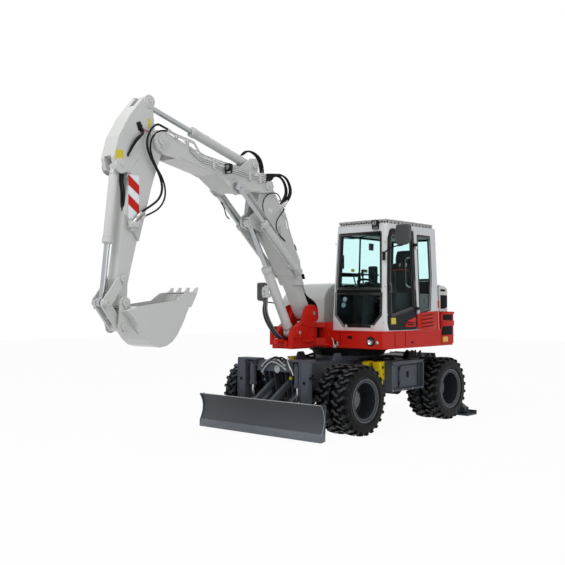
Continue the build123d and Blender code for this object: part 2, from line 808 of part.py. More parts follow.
side_slope = hypot(cab_height, cab_lean_side) / cab_height
door_head = cab_height - 80
door_outline = [
    (door_rear, 22), (470, 22), (492, 120), (470, 0.45 * cab_height), (425, door_head - 145), (385, door_head - 30),
    (330, door_head), (door_rear + 30, door_head),
]
door_window = [
    (door_rear + 75, 330), (400, 210), (405, 0.45 * cab_height), (365, door_head - 185), (330, door_head - 90),
    (300, door_head - 75), (door_rear + 75, door_head - 75),
]
rear_side_window = [
    (-640, 300), (-345, 260), (-345, door_head - 55), (-690, door_head - 55), (-700, 0.53 * cab_height),
]
window_sill = 0.39 * cab_height
window_head = cab_height - 125
front_window = [
    (cab_right + 95, window_sill), (cab_left - 120, window_sill), (cab_left - 145, window_head),
    (cab_right + 120, window_head),
]
front_low_window = [
    (cab_right + 85, window_sill - 50), (cab_right + 85, 230), (cab_right + 245, 60), (cab_left - 260, 60),
    (cab_left - 105, 230), (cab_left - 105, window_sill - 50),
]
right_window = [
    (-760, window_sill + 30), (380, window_sill + 30), (345, window_head), (-730, window_head),
]
rear_window = [
    (cab_right + 115, window_sill + 150), (cab_left - 120, window_sill + 150), (cab_left - 150, window_head - 30),
    (cab_right + 145, window_head - 30),
]
# columns: wall, outline, depth of the cut inward
cab_windows = (
    ("left", rear_side_window), ("front", front_window), ("front", front_low_window),
    ("right", right_window), ("rear", rear_window),
)
roof_window_y = (cab_right + 185, cab_left - 180)


def inward(side):
    # the sign that takes an extrusion from a wall's outer face into the cab
    return {"left": 1, "right": -1, "front": -1, "rear": 1}[side]


def wall_cut(side, points, start, depth, mode, rounding=24):
    plane = wall_plane(side)
    with BuildSketch(plane.offset(inward(side) * start)) as outline:
        with BuildLine():
            Polyline(*points, close=True)
        make_face()
        if rounding:
            fillet(outline.vertices(), rounding)
    extrude(outline.sketch, amount=inward(side) * depth, mode=mode)


door_hinges = (300.0, door_head - 225)


def door_knuckle(height, reach, rise):
    # half of a door hinge: a barrel on the leaning hinge line and the block that joins it to the wall
    plane = wall_plane("left")
    low = min(0.0, rise) + (pin_gap / 2 if rise > 0 else 0.0)
    with BuildSketch(plane) as outline:
        with Locations((door_rear + reach / 2, height + low + hinge_rise / 2)):
            Rectangle(abs(reach), hinge_rise - pin_gap / 2)
    extrude(outline.sketch, amount=-door_hinge_out)
    turn = Plane(
        origin=plane.from_local_coords(Vector(door_rear, height + low + pin_gap / 4, -door_hinge_out)),
        x_dir=plane.x_dir, z_dir=plane.y_dir,
    )
    with BuildSketch(turn) as outline:
        Circle(14)
    extrude(outline.sketch, amount=hinge_rise - pin_gap / 2)


with BuildPart() as cab_shell:
    cab_loft(cab_floor, cab_roof, 0, 60)
    for height in door_hinges:
        door_knuckle(height, -34.0, -hinge_rise)
    cab_loft(cab_floor + 40, cab_roof - 70, cab_wall, 25, mode=Mode.SUBTRACT)
    wall_cut("left", door_outline, -20, cab_wall + 60, Mode.SUBTRACT)
    for wall_name, points in cab_windows:
        wall_cut(wall_name, points, -20, cab_wall + 60, Mode.SUBTRACT)
    # roof window
    block((-250, 330), roof_window_y, (cab_roof - 80, cab_roof + 1), mode=Mode.SUBTRACT)
finish(cab_shell, "cab_shell")

with BuildPart() as cab_glass:
    for wall_name, points in cab_windows:
        wall_cut(wall_name, points, 14, glass, Mode.ADD)
    block((-250, 330), roof_window_y, (cab_roof - 30, cab_roof - 30 + glass))
finish(cab_glass, "cab_glass")


rail_low = 0.4 * cab_height
rail_high = 0.68 * cab_height
with BuildPart() as cab_door:
    with BuildSketch(wall_plane("left")) as outline:
        with BuildLine():
            Polyline(*door_outline, close=True)
        make_face()
        fillet(outline.vertices(), 24)
        offset(amount=-door_gap, mode=Mode.REPLACE)
    extrude(amount=cab_wall)
    wall_cut("left", door_window, -20, cab_wall + 60, Mode.SUBTRACT)
    # grab rail
    for rail_z in (rail_low, rail_high):
        with BuildSketch(wall_plane("left").offset(cab_wall)):
            with Locations((-146, rail_z)):
                Rectangle(130, 18)
        extrude(amount=22)
    for height in door_hinges:
        door_knuckle(height, 34.0, hinge_rise)
    with BuildSketch(wall_plane("left").offset(cab_wall + 22)):
        with Locations((-90, (rail_low + rail_high) / 2)):
            Rectangle(18, rail_high - rail_low + 18)
    extrude(amount=14)
finish(cab_door, "cab_door")

with BuildPart() as door_glass:
    wall_cut("left", door_window, 14, glass, Mode.ADD)
finish(door_glass, "door_glass")

seat_x = -420.0
seat_y = (cab_left + cab_right) / 2
seat_half = (cab_left - cab_right) / 2 - 272.5
seat_top = cab_roof - 345
with BuildPart() as seat:
    block((seat_x - 200, seat_x + 260), (seat_y - seat_half + 55, seat_y + seat_half - 55), (1450, 1800))
    block((seat_x - 190, seat_x + 290), (seat_y - seat_half, seat_y + seat_half), (1800, 1920))
    slab(
        side_plane(seat_y),
        [
            (seat_x - 190, 1880), (seat_x - 70, 1900), (seat_x - 170, seat_top - 200), (seat_x - 200, seat_top),
            (seat_x - 270, seat_top - 10), (seat_x - 290, seat_top - 220),
        ],
        2 * seat_half - 20,
    )
finish(seat, "seat")

with BuildPart() as console:
    block((-560, 120), (cab_right + 95, cab_right + 250), (1450, 1960))
    for lever_y in (cab_right + 185, cab_left - 190):
        disc(plan_plane(2040), (60, lever_y), 12, 170)
    block((-560, 120), (cab_left - 255, cab_left - 120), (1450, 1960))
    slab(side_plane(seat_y), [(250, 1450), (380, 1450), (300, 2052), (230, 2088)], 120)
    with BuildSketch(Plane(origin=place(255, seat_y, 2080), x_dir=(0, 1, 0), z_dir=(-0.45, 0, 1))):
        Circle(185)
        Circle(160, mode=Mode.SUBTRACT)
        Rectangle(330, 30)
    extrude(amount=22)
finish(console, "console")

guard_right = cab_right + 105
guard_left = cab_left - 100
with BuildPart() as roof_guard:
    for rail_y in (guard_right, guard_right + 330, guard_left - 340, guard_left):
        block((-800, 400), (rail_y - 15, rail_y + 15), (cab_roof + 30, cab_roof + 60))
    for rail_x in (-790, -400, 0, 380):
        block((rail_x - 15, rail_x + 15), (guard_right, guard_left), (cab_roof + 32, cab_roof + 58))
    for post_x in (-740, 340):
        for post_y in (guard_right + 20, guard_left - 20):
            block((post_x - 12, post_x + 12), (post_y - 12, post_y + 12), (cab_roof, cab_roof + 40))
finish(roof_guard, "roof_guard")


def mirror_arm(side, points, centre, size):
    with BuildLine() as path:
        Polyline(*points)
    with BuildSketch(Plane(origin=points[0], z_dir=points[1] - points[0])) as section:
        Circle(11)
    sweep(section.sketch, path=path.line, transition=Transition.ROUND)
    block(
        (centre[0] - 30, centre[0] + 30), (centre[1] - size[0] / 2, centre[1] + size[0] / 2),
        (centre[2] - size[1] / 2, centre[2] + size[1] / 2),
    )


mirror_z = cab_roof - 435
with BuildPart() as mirrors:
    mirror_arm(
        1,
        [
            place(476, cab_left - 85, mirror_z), place(555, cab_left - 70, mirror_z),
            place(580, cab_left + 310, mirror_z + 70), place(580, cab_left + 310, mirror_z + 170),
        ],
        (580, cab_left + 320, mirror_z + 250), (250, 280),
    )
    mirror_arm(
        -1,
        [
            place(320, side_hood_right, 1800), place(320, side_hood_right - 50, 1800),
            place(470, side_hood_right - 330, 1840), place(470, side_hood_right - 330, 1900),
        ],
        (470, side_hood_right - 340, 2000), (200, 310),
    )
finish(mirrors, "mirrors")

# Swing post
cheek_inner = foot_half + side_gap
cheek_outer = 192.0
with BuildPart() as swing_post:
    for side in (-1, 1):
        slab(
            side_plane(boom_y + side * (cheek_inner + cheek_outer) / 2),
            [
                (990, 1160), (1440, 1160), (1420, 1390), (1340, 1470), (1150, 1560), (1092, 1700),
                (1040, 1775), (940, 1785), (870, 1720), (855, 1600), (880, 1548), (990, 1548),
            ],
            cheek_outer - cheek_inner,
        )
        disc(side_plane(boom_y + side * (74 + cheek_outer) / 2), boom_cyl_base, 78, cheek_outer - 74)
    # knuckle between the nose's lugs, and the floor between the cheeks
    disc(plan_plane(1377.5), (swing_pivot_x, boom_y), 118, 145)
    block((swing_pivot_x, 1130), (boom_y - 104, boom_y + 104), (1305, 1450))
    disc(plan_plane(1377.5), (swing_pivot_x, boom_y), swing_pin + pin_gap, 150, mode=Mode.SUBTRACT)
    block((1000, 1430), (boom_y - 110, boom_y + 110), (1162, 1200))
    disc(side_plane(boom_y), boom_foot, boom_pin, 2 * cheek_outer + 24)
    disc(side_plane(boom_y), boom_cyl_base, cylinder_sizes["boom"][6], 2 * cheek_outer + 20)
    # arm on the right that the swing cylinder pushes
    with BuildSketch(plan_plane(1176)):
        with BuildLine():
            Polyline(
                (1000, boom_y - 100), (1260, boom_y - 100), (1250, boom_y - 192), (1110, swing_cyl_pin[1] - 40),
                (1020, swing_cyl_pin[1] - 40), (1000, boom_y - 192), close=True,
            )
        make_face()
    extrude(amount=34)
finish(swing_post, "swing_post")

swing_base = place(swing_cyl_base[0], swing_cyl_base[1], swing_cyl_z)
swing_tip = place(swing_cyl_pin[0], swing_cyl_pin[1], swing_cyl_z)
with BuildPart() as swing_barrel:
    barrel("swing", swing_base, swing_tip, (0, 0, 1))
finish(swing_barrel, "swing_barrel")
with BuildPart() as swing_rod:
    rod("swing", swing_base, swing_tip, (0, 0, 1))
finish(swing_rod, "swing_rod")

# Lower boom
with BuildPart() as boom_lower:
    slab(
        side_plane(boom_y),
        [(925, 1650), (985, 1590), (1060, 1625), (1400, 2200), (1250, 2300), (1190, 2180), (950, 1750)],
        2 * foot_half,
    )
    slab(
        side_plane(boom_y),
        [
            (1130, 2070), (1322, 2070), (1363, 2142), (1700, 2640), (1640, 2900), (1480, 2860),
            (1223, 2421), (1190, 2200),
        ],
        2 * lower_half,
    )
    slab(
        side_plane(boom_y),
        [
            (1400, 2600), (1660, 2560), (2006, 2905), (2090, 3060), (2050, 3330), (2010, 3520), (1870, 3530),
            (1800, 3440), (1508, 3037), (1470, 2840),
        ],
        2 * lower_head_half,
    )
    disc(side_plane(boom_y), boom_foot, 92, 2 * foot_half)
    disc(side_plane(boom_y), boom_foot, boom_pin + pin_gap, 2 * foot_half + 2, mode=Mode.SUBTRACT)
    disc(side_plane(boom_y), boom_joint, 125, 2 * lower_head_half)
    disc(side_plane(boom_y), boom_joint, boom_pin + pin_gap, 2 * lower_head_half + 2, mode=Mode.SUBTRACT)
    # lugs for the boom cylinder's rod
    for side in (-1, 1):
        slab(
            side_plane(boom_y + side * 82),
            [(1900, 2780), (2110, 2835), (2190, 2870), (2205, 2960), (2160, 3010), (2060, 3080), (1900, 3000)],
            40,
        )
    disc(side_plane(boom_y), boom_cyl_pin, 225, 118, mode=Mode.SUBTRACT)
    slab(
        side_plane(boom_y),
        [(1780, 2600), (1765, 2665), (1868, 2830), (1960, 2960), (2150, 2900), (2100, 2700), (1900, 2560)],
        118,
        mode=Mode.SUBTRACT,
    )
    for side in (-1, 1):
        disc(side_plane(boom_y + side * 112), boom_cyl_pin, 42, 24)
    disc(side_plane(boom_y), adjust_base, cylinder_sizes["adjust"][6], 2 * 272)
    disc(side_plane(boom_y), adjust_base, 75, 2 * (adjust_y - cylinder_sizes["adjust"][0] - 6))
finish(boom_lower, "boom_lower")

# Upper boom
with BuildPart() as boom_upper:
    slab(
        side_plane(boom_y),
        [
            (1850, 3330), (2066, 3318), (2480, 3300), (2560, 3270), (2640, 3300), (2808, 3402), (2921, 3474),
            (3532, 3591), (3756, 3610), (3880, 3660), (3925, 3740), (3943, 3833), (3880, 3885), (3768, 3893),
            (3457, 3793), (3188, 3663), (2766, 3580), (2230, 3535), (1954, 3520), (1830, 3490), (1805, 3420),
        ],
        2 * upper_half,
    )
    # fork over the lower boom's head
    disc(side_plane(boom_y), boom_joint, 330, 2 * fork_inner, mode=Mode.SUBTRACT)
    disc(side_plane(boom_y), boom_joint, boom_pin, 2 * upper_half + 30)
    # fork over the stick
    slab(
        side_plane(boom_y),
        [(3560, 3500), (4000, 3500), (4000, 4000), (3520, 4000)],
        2 * fork_inner,
        mode=Mode.SUBTRACT,
    )
    disc(side_plane(boom_y), stick_pivot, boom_pin, 2 * upper_half + 30)
    # ears of the stick cylinder, each side of its base eye
    for side in (-1, 1):
        slab(
            side_plane(boom_y + side * 84),
            [(2250, 3500), (2480, 3560), (2290, 3706), (2180, 3780), (2080, 3790), (2035, 3720), (2050, 3620)],
            34,
        )
        disc(side_plane(boom_y + side * 182), adjust_pin, 62, 22)
    slab(
        side_plane(boom_y),
        [(2200, 3490), (2480, 3540), (2480, 3575), (2200, 3545)],
        2 * fork_inner + 20,
    )
    disc(side_plane(boom_y), stick_cyl_base, cylinder_sizes["stick"][6], 220)
finish(boom_upper, "boom_upper")

# Stick
with BuildPart() as stick:
    slab(
        side_plane(boom_y),
        [
            (3912, 4170), (3960, 4285), (4040, 4270), (4250, 4011), (4402, 3750), (4475, 3492), (4440, 3360),
            (4342, 3340), (4235, 3330), (4300, 2840), (4110, 2540), (4046, 2769), (3927, 3196), (3735, 3740),
            (3745, 3830), (3880, 3897),
        ],
        2 * stick_half,
    )
    slab(
        side_plane(boom_y),
        [
            (4300, 2842), (4350, 2420), (4400, 2090), (4385, 1960), (4366, 1915), (4364, 1800), (4350, 1768),
            (4313, 1752), (4270, 1768), (4250, 1830), (4243, 2034), (4140, 2432), (4105, 2560),
        ],
        2 * tip_half,
    )
    disc(side_plane(boom_y), bucket_pivot, 66, 2 * tip_boss_half)
    disc(side_plane(boom_y), bucket_pivot, small_pin + pin_gap, 2 * tip_boss_half + 2, mode=Mode.SUBTRACT)
    disc(side_plane(boom_y), stick_pivot, 96, 2 * stick_half)
    disc(side_plane(boom_y), stick_pivot, boom_pin + pin_gap, 2 * stick_half + 2, mode=Mode.SUBTRACT)
    disc(side_plane(boom_y), stick_cyl_pin, 66, 2 * stick_half)
    disc(side_plane(boom_y), stick_cyl_pin, 185, 86, mode=Mode.SUBTRACT)
    # room for the bucket cylinder's base
    slab(
        side_plane(boom_y),
        [(4290, 3470), (4480, 3520), (4520, 3300), (4260, 3300)],
        2 * 64,
        mode=Mode.SUBTRACT,
    )
    disc(side_plane(boom_y), bucket_cyl_base, cylinder_sizes["bucket"][6], 2 * stick_half)
    disc(side_plane(boom_y), lever_pivot, small_pin, 2 * 128)
finish(stick, "stick")

# Bucket linkage
lever_layer = 103.0
with BuildPart() as bucket_lever:
    for side in (-1, 1):
        slab(
            side_plane(boom_y + side * lever_layer),
            [
                (4270, 2110), (4300, 2040), (4480, 1790), (4560, 1755), (4605, 1800), (4590, 1860),
                (4385, 2120), (4320, 2150),
            ],
            22,
        )
        disc(side_plane(boom_y + side * lever_layer), lever_pivot, small_pin + pin_gap, 24, mode=Mode.SUBTRACT)
        disc(side_plane(boom_y + side * (lever_layer + 14)), crank_pin, 40, 12)
    # tie between the two plates
    disc(side_plane(boom_y), (4470, 1935), 14, 2 * lever_layer)
finish(bucket_lever, "bucket_lever")

with BuildPart() as bucket_link:
    for side in (-1, 1):
        slab(
            side_plane(boom_y + side * 66),
            [
                (4300, 1570), (4350, 1490), (4400, 1520), (4590, 1770), (4600, 1830), (4550, 1862),
                (4500, 1840),
            ],
            40,
        )
    disc(side_plane(boom_y), link_pin, 55, 2 * 111)
    disc(side_plane(boom_y), link_pin, small_pin + pin_gap, 2 * 113, mode=Mode.SUBTRACT)
    disc(side_plane(boom_y), (4420, 1650), 30, 120)
finish(bucket_link, "bucket_link")

# Bucket
bucket_outline = [
    (3338, 1950), (3488, 1934), (3634, 1840), (4224, 1767), (4355, 1715), (4278, 1644), (4133, 1456),
    (4065, 1374), (3985, 1310), (3881, 1281), (3787, 1295), (3692, 1343), (3608, 1430), (3511, 1588),
    (3437, 1737),
]
with BuildPart() as bucket:
    slab(side_plane(boom_y), bucket_outline, 2 * bucket_half)
    with BuildSketch(side_plane(boom_y)):
        with BuildLine():
            Polyline(*bucket_outline, close=True)
        make_face()
        offset(amount=-bucket_wall, kind=Kind.INTERSECTION, mode=Mode.REPLACE)
    extrude(amount=bucket_half - bucket_wall, both=True, mode=Mode.SUBTRACT)
    slab(
        side_plane(boom_y),
        [(3370, 1990), (3370, 1910), (3480, 1890), (3620, 1815), (4200, 1740), (4200, 1850), (3640, 1990)],
        2 * (bucket_half - bucket_wall),
        mode=Mode.SUBTRACT,
    )
    for side in (-1, 1):
        slab(
            side_plane(boom_y + side * 130),
            [
                (4313, 1890), (4385, 1850), (4400, 1560), (4380, 1480), (4320, 1455), (4200, 1500),
                (4120, 1435), (4268, 1640), (4235, 1765), (4245, 1850),
            ],
            20,
        )
    disc(side_plane(boom_y), bucket_pivot, small_pin, 2 * 152)
    disc(side_plane(boom_y), link_pin, small_pin, 2 * 152)
    for tooth in range(4):
        slab(
            side_plane(boom_y + (tooth - 1.5) * tooth_pitch),
            [(3287, 2003), (3322, 1900), (3405, 1760), (3440, 1780), (3385, 1900)],
            60,
        )
finish(bucket, "bucket")


# Boom, adjust, stick and bucket cylinders
def arm_cylinder(kind, base, tip, rows, labels):
    with BuildPart() as tube:
        for y in rows:
            barrel(kind, place(base[0], y, base[1]), place(tip[0], y, tip[1]), (0, -1, 0))
    finish(tube, labels[0])
    with BuildPart() as bar:
        for y in rows:
            rod(kind, place(base[0], y, base[1]), place(tip[0], y, tip[1]), (0, -1, 0))
    finish(bar, labels[1])


for kind, base, tip, rows, labels in (
    ("boom", boom_cyl_base, boom_cyl_pin, (boom_y,), ("boom_barrel", "boom_rod")),
    ("adjust", adjust_base, adjust_pin, (boom_y - adjust_y, boom_y + adjust_y), ("adjust_barrels", "adjust_rods")),
    ("stick", stick_cyl_base, stick_cyl_pin, (boom_y,), ("stick_barrel", "stick_rod")),
    ("bucket", bucket_cyl_base, crank_pin, (boom_y,), ("bucket_barrel", "bucket_rod")),
):
    arm_cylinder(kind, base, tip, rows, labels)
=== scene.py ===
from contextlib import contextmanager
from math import atan2, cos, hypot, pi, radians, sin

import bpy
from mathutils import Matrix, Vector


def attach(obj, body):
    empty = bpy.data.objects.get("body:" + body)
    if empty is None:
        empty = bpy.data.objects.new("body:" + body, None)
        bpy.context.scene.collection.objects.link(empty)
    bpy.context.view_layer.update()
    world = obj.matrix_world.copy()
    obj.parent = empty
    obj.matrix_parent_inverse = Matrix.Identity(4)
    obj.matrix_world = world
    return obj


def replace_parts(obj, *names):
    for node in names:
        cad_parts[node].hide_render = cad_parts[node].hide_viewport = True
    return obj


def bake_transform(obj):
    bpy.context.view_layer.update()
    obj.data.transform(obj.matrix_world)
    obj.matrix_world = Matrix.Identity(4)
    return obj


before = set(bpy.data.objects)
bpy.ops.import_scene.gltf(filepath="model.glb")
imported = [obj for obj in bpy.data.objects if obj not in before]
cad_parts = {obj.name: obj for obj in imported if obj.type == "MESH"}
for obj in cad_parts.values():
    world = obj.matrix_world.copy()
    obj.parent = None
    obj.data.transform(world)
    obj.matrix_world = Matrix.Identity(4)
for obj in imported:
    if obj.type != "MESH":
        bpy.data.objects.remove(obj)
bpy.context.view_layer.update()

# A wheeled excavator on twin tyres, dressed round its frame. Metres, +X forward, +Y to the left, +Z up.
# Places on the machine are written in millimetres from its slewing axis, as on its drawings.

machine = {
    "slewX": -1333.0,
    "boomY": -100.0,
    "axleX": 1120.0,
    "axleZ": 485.0,
    "innerTwinY": 740.0,
    "outerTwinY": 1015.0,
    "deckTop": 1410.0,
    "deckSide": 1080.0,
    "tailRadius": 1700.0,
}
xWay, yWay, zWay = Vector((1, 0, 0)), Vector((0, 1, 0)), Vector((0, 0, 1))


def at(x, y, z):
    return Vector((machine["slewX"] + x, y, z)) / 1000


def deselect():
    if bpy.context.object and bpy.context.object.mode != "OBJECT":
        bpy.ops.object.mode_set(mode="OBJECT")
    bpy.ops.object.select_all(action="DESELECT")


def pick(piece):
    deselect()
    piece.select_set(True)
    bpy.context.view_layer.objects.active = piece
    return piece


def settled(piece):
    pick(piece)
    bpy.ops.object.transform_apply(location=True, rotation=True, scale=True)
    return piece


def applied(piece, kind, **settings):
    pick(piece)
    modifier = piece.modifiers.new(kind.lower(), kind)
    for setting, value in settings.items():
        setattr(modifier, setting, value)
    bpy.ops.object.modifier_apply(modifier=modifier.name)
    return piece


def rounded(piece, width, segments=2, angle=30):
    return applied(
        piece, "BEVEL", width=width / 1000, segments=segments, limit_method="ANGLE", angle_limit=radians(angle)
    )


def smooth(piece, angle=35):
    pick(piece)
    bpy.ops.object.shade_smooth_by_angle(angle=radians(angle))
    return piece


@contextmanager
def editing():
    # edit mode on the active piece, with all of it selected
    bpy.ops.object.mode_set(mode="EDIT")
    bpy.ops.mesh.select_all(action="SELECT")
    yield
    bpy.ops.object.mode_set(mode="OBJECT")


def outward(piece):
    # doubles merged and faces turned outwards
    pick(piece)
    with editing():
        bpy.ops.mesh.remove_doubles(threshold=0.00002)
        bpy.ops.mesh.normals_make_consistent(inside=False)
    return piece


def joined(pieces):
    deselect()
    for piece in pieces:
        piece.select_set(True)
    bpy.context.view_layer.objects.active = pieces[0]
    if len(pieces) > 1:
        bpy.ops.object.join()
    return pieces[0]


def copied(piece, matrix):
    twin = piece.copy()
    twin.data = piece.data.copy()
    bpy.context.scene.collection.objects.link(twin)
    twin.data.transform(matrix)
    if matrix.determinant() < 0:
        twin.data.flip_normals()
    return twin


def bothSides(*pieces):
    # pieces made on the left, with their mirror images on the right
    return [*pieces] + [copied(piece, Matrix.Scale(-1, 4, yWay)) for piece in pieces]


def box(left, low, right, high):
    return [(left, low), (right, low), (right, high), (left, high)]


def block(low, high, edge=3.0, segments=2):
    # a bar between two corners
    a, b = at(*low), at(*high)
    deselect()
    bpy.ops.mesh.primitive_cube_add(size=1, location=(a + b) / 2)
    piece = bpy.context.object
    piece.scale = [abs(v) for v in (b - a)]
    settled(piece)
    if edge:
        rounded(piece, edge, segments)
    return smooth(piece)


def rod(start, end, radius, edge=1.5, sides=24, endRadius=None):
    a, b = at(*start), at(*end)
    run = b - a
    deselect()
    bpy.ops.mesh.primitive_cone_add(
        vertices=sides, radius1=radius / 1000, radius2=(endRadius or radius) / 1000, depth=run.length,
        location=(a + b) / 2,
    )
    piece = bpy.context.object
    piece.rotation_euler = run.to_track_quat("Z", "Y").to_euler()
    settled(piece)
    if edge:
        rounded(piece, edge, 2, 60)
    return smooth(piece)


views = {"side": (xWay, zWay, yWay), "front": (yWay, zWay, xWay), "plan": (xWay, yWay, zWay)}


def outline(points, origin, across, up, filled=True):
    # a ring of vertices put on a drawn outline
    deselect()
    bpy.ops.mesh.primitive_circle_add(
        vertices=len(points), radius=1, fill_type="NGON" if filled else "NOTHING"
    )
    piece = bpy.context.object
    for vertex, (u, v) in zip(piece.data.vertices, points):
        vertex.co = origin + (across * u + up * v) / 1000
    return piece


def thickened(piece, step, edge, segments=2):
    pick(piece)
    with editing():
        bpy.ops.mesh.extrude_region_move(TRANSFORM_OT_translate={"value": step / 1000})
    outward(piece)
    if edge:
        rounded(piece, edge, segments)
    return smooth(piece)


def plate(points, view, level, thick, edge=2.0, segments=2):
    # a flat outline drawn in a side (x, z), front (y, z) or plan (x, y) view, with its thickness about a level
    across, up, out = views[view]
    origin = at(0, 0, 0) + out * (level - thick / 2) / 1000
    if view == "front":
        origin = at(level - thick / 2, 0, 0)
    return thickened(outline(points, origin, across, up), out * thick, edge, segments)


def turned(profile, centre, axis="Y", steps=48):
    # a closed outline of (along the axis, radius), spun once round the axis
    middle = at(*centre)
    along = {"X": xWay, "Y": yWay, "Z": zWay}[axis]
    piece = outline(profile, middle, along, xWay if axis == "Z" else zWay, filled=False)
    with editing():
        bpy.ops.mesh.spin(steps=steps, angle=2 * pi, center=middle, axis=along)
    return smooth(outward(piece))


def collar(x, z, level, side, radius, high, bore, low=1, slant=6):
    # a boss round a pin, standing on a side face
    return turned(
        [(level - side * low, radius), (level + side * high, radius - slant), (level + side * high, bore),
         (level - side * low, bore)], (x, 0, z), "Y", 40,
    )


def route(points, radius, resolution=2, smoothness=6, wire=False):
    # a NURBS spline through the neighbourhood of its points; a wire has no thickness
    curve = bpy.data.curves.new("route", "CURVE")
    curve.dimensions = "3D"
    if not wire:
        curve.bevel_depth = radius / 1000
        curve.bevel_resolution = resolution
        curve.use_fill_caps = True
    curve.resolution_u = smoothness
    spline = curve.splines.new("NURBS")
    spline.points.add(len(points) - 1)
    for point, place in zip(spline.points, points):
        point.co = (*at(*place), 1)
    spline.order_u = 3
    spline.use_endpoint_u = True
    piece = bpy.data.objects.new("route", curve)
    bpy.context.scene.collection.objects.link(piece)
    return piece


def hose(points, radius, resolution=2, smoothness=6):
    piece = pick(route(points, radius, resolution, smoothness))
    bpy.ops.object.convert(target="MESH")
    return smooth(bpy.context.object, 60)


def pipe(points, radius, bend=45.0, resolution=2):
    # a steel tube: straight runs with a short bend at each corner
    places = [Vector(p) for p in points]
    full = [places[0]]
    for before, corner, after in zip(places, places[1:], places[2:]):
        for other in (before, after):
            reach = min(bend, (other - corner).length * 0.45)
            full.append(corner + (other - corner).normalized() * reach)
            if other is before:
                full.append(corner)
    return hose(full + [places[-1]], radius, resolution, 3)


def ring(centre, radius, thick, axis, sides=32, tubeSides=8):
    deselect()
    bpy.ops.mesh.primitive_torus_add(
        location=at(*centre), major_radius=radius / 1000, minor_radius=thick / 1000, major_segments=sides,
        minor_segments=tubeSides,
    )
    piece = bpy.context.object
    piece.rotation_euler = Vector(axis).to_track_quat("Z", "Y").to_euler()
    settled(piece)
    return smooth(piece, 60)


def bolts(places, direction, size=9.0):
    # hexagon heads on washers, standing on a face
    head = rod((0, 0, 0), (0, 0, size * 0.8), size, size * 0.08, 6)
    washer = rod((0, 0, 0), (0, 0, size * 0.25), size * 1.4, 0, 16)
    head = joined([head, washer])
    home = Matrix.Translation(-at(0, 0, 0))
    turn = Vector(direction).to_track_quat("Z", "Y").to_matrix().to_4x4()
    heads = [copied(head, Matrix.Translation(at(*place)) @ turn @ home) for place in places]
    bpy.data.objects.remove(head)
    return joined(heads)


def painted(piece, name, finish):
    piece.name = piece.data.name = name
    piece.data.materials.clear()
    piece.data.materials.append(finish)
    for face in piece.data.polygons:
        face.material_index = 0
    return piece


def fitted(name, pieces, body, finish):
    # one named piece out of its parts, painted and hung on its body
    piece = painted(joined(pieces if isinstance(pieces, list) else [pieces]), name, finish)
    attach(piece, body)
    return piece


class Wire:
    # one output of a shader node, with the sums that the finishes need
    def __init__(self, finish, socket):
        self.finish = finish
        self.socket = socket

    def worked(self, operation, first, second):
        return self.finish.node("ShaderNodeMath", {"operation": operation}, {0: first, 1: second})

    def __add__(self, other):
        return self.worked("ADD", self, other)

    def __radd__(self, other):
        return self.worked("ADD", other, self)

    def __sub__(self, other):
        return self.worked("SUBTRACT", self, other)

    def __mul__(self, other):
        return self.worked("MULTIPLY", self, other)

    def __rmul__(self, other):
        return self.worked("MULTIPLY", other, self)

    def __abs__(self):
        return self.worked("ABSOLUTE", self, 0.0)


class Finish:
    # a material and its nodes
    def __init__(self, name):
        self.material = bpy.data.materials.new(name)
        self.material.use_nodes = True
        self.tree = self.material.node_tree
        self.shader = self.tree.nodes["Principled BSDF"]

    def node(self, kind, settings=None, inputs=None, output=0):
        made = self.tree.nodes.new(kind)
        for setting, value in (settings or {}).items():
            if setting == "stops":
                stops = made.color_ramp.elements
                for index, (place, level) in enumerate(value):
                    stop = stops[index] if index < 2 else stops.new(place)
                    stop.position = place
                    stop.color = (level, level, level, 1)
            else:
                setattr(made, setting, value)
        for name, value in (inputs or {}).items():
            if isinstance(value, Wire):
                self.tree.links.new(value.socket, made.inputs[name])
            else:
                made.inputs[name].default_value = value
        return Wire(self, made.outputs[output])

    def feed(self, **values):
        for name, value in values.items():
            socket = self.shader.inputs[name.replace("_", " ")]
            if isinstance(value, Wire):
                self.tree.links.new(value.socket, socket)
            else:
                socket.default_value = value

    def place(self):
        return self.node("ShaderNodeTexCoord", output="Object")

    def axis(self, letter):
        return self.node("ShaderNodeSeparateXYZ", inputs={0: self.place()}, output=letter)

    def noise(self, scale, detail=3.0, rough=0.5, stretch=None):
        vector = self.place()
        if stretch:
            vector = self.node("ShaderNodeMapping", inputs={"Vector": vector, "Scale": stretch})
        return self.node(
            "ShaderNodeTexNoise", inputs={"Vector": vector, "Scale": scale, "Detail": detail, "Roughness": rough}
        )

    def ramp(self, value, *stops):
        return self.node("ShaderNodeValToRGB", {"stops": stops}, {"Fac": value})

    def mix(self, share, first, second):
        return self.node("ShaderNodeMix", {"data_type": "RGBA"}, {"Factor": share, 6: first, 7: second}, output=2)

    def rounding(self, radius):
        return self.node("ShaderNodeBevel", {"samples": 4}, {"Radius": radius})

    def bump(self, height, strength, distance, normal=None):
        inputs = {"Height": height, "Strength": strength, "Distance": distance}
        if normal:
            inputs["Normal"] = normal
        return self.node("ShaderNodeBump", inputs=inputs)


def shade(color, factor):
    return tuple(min(1.0, c * factor) for c in color[:3]) + (1.0,)


dustTone = (0.30, 0.275, 0.24, 1)


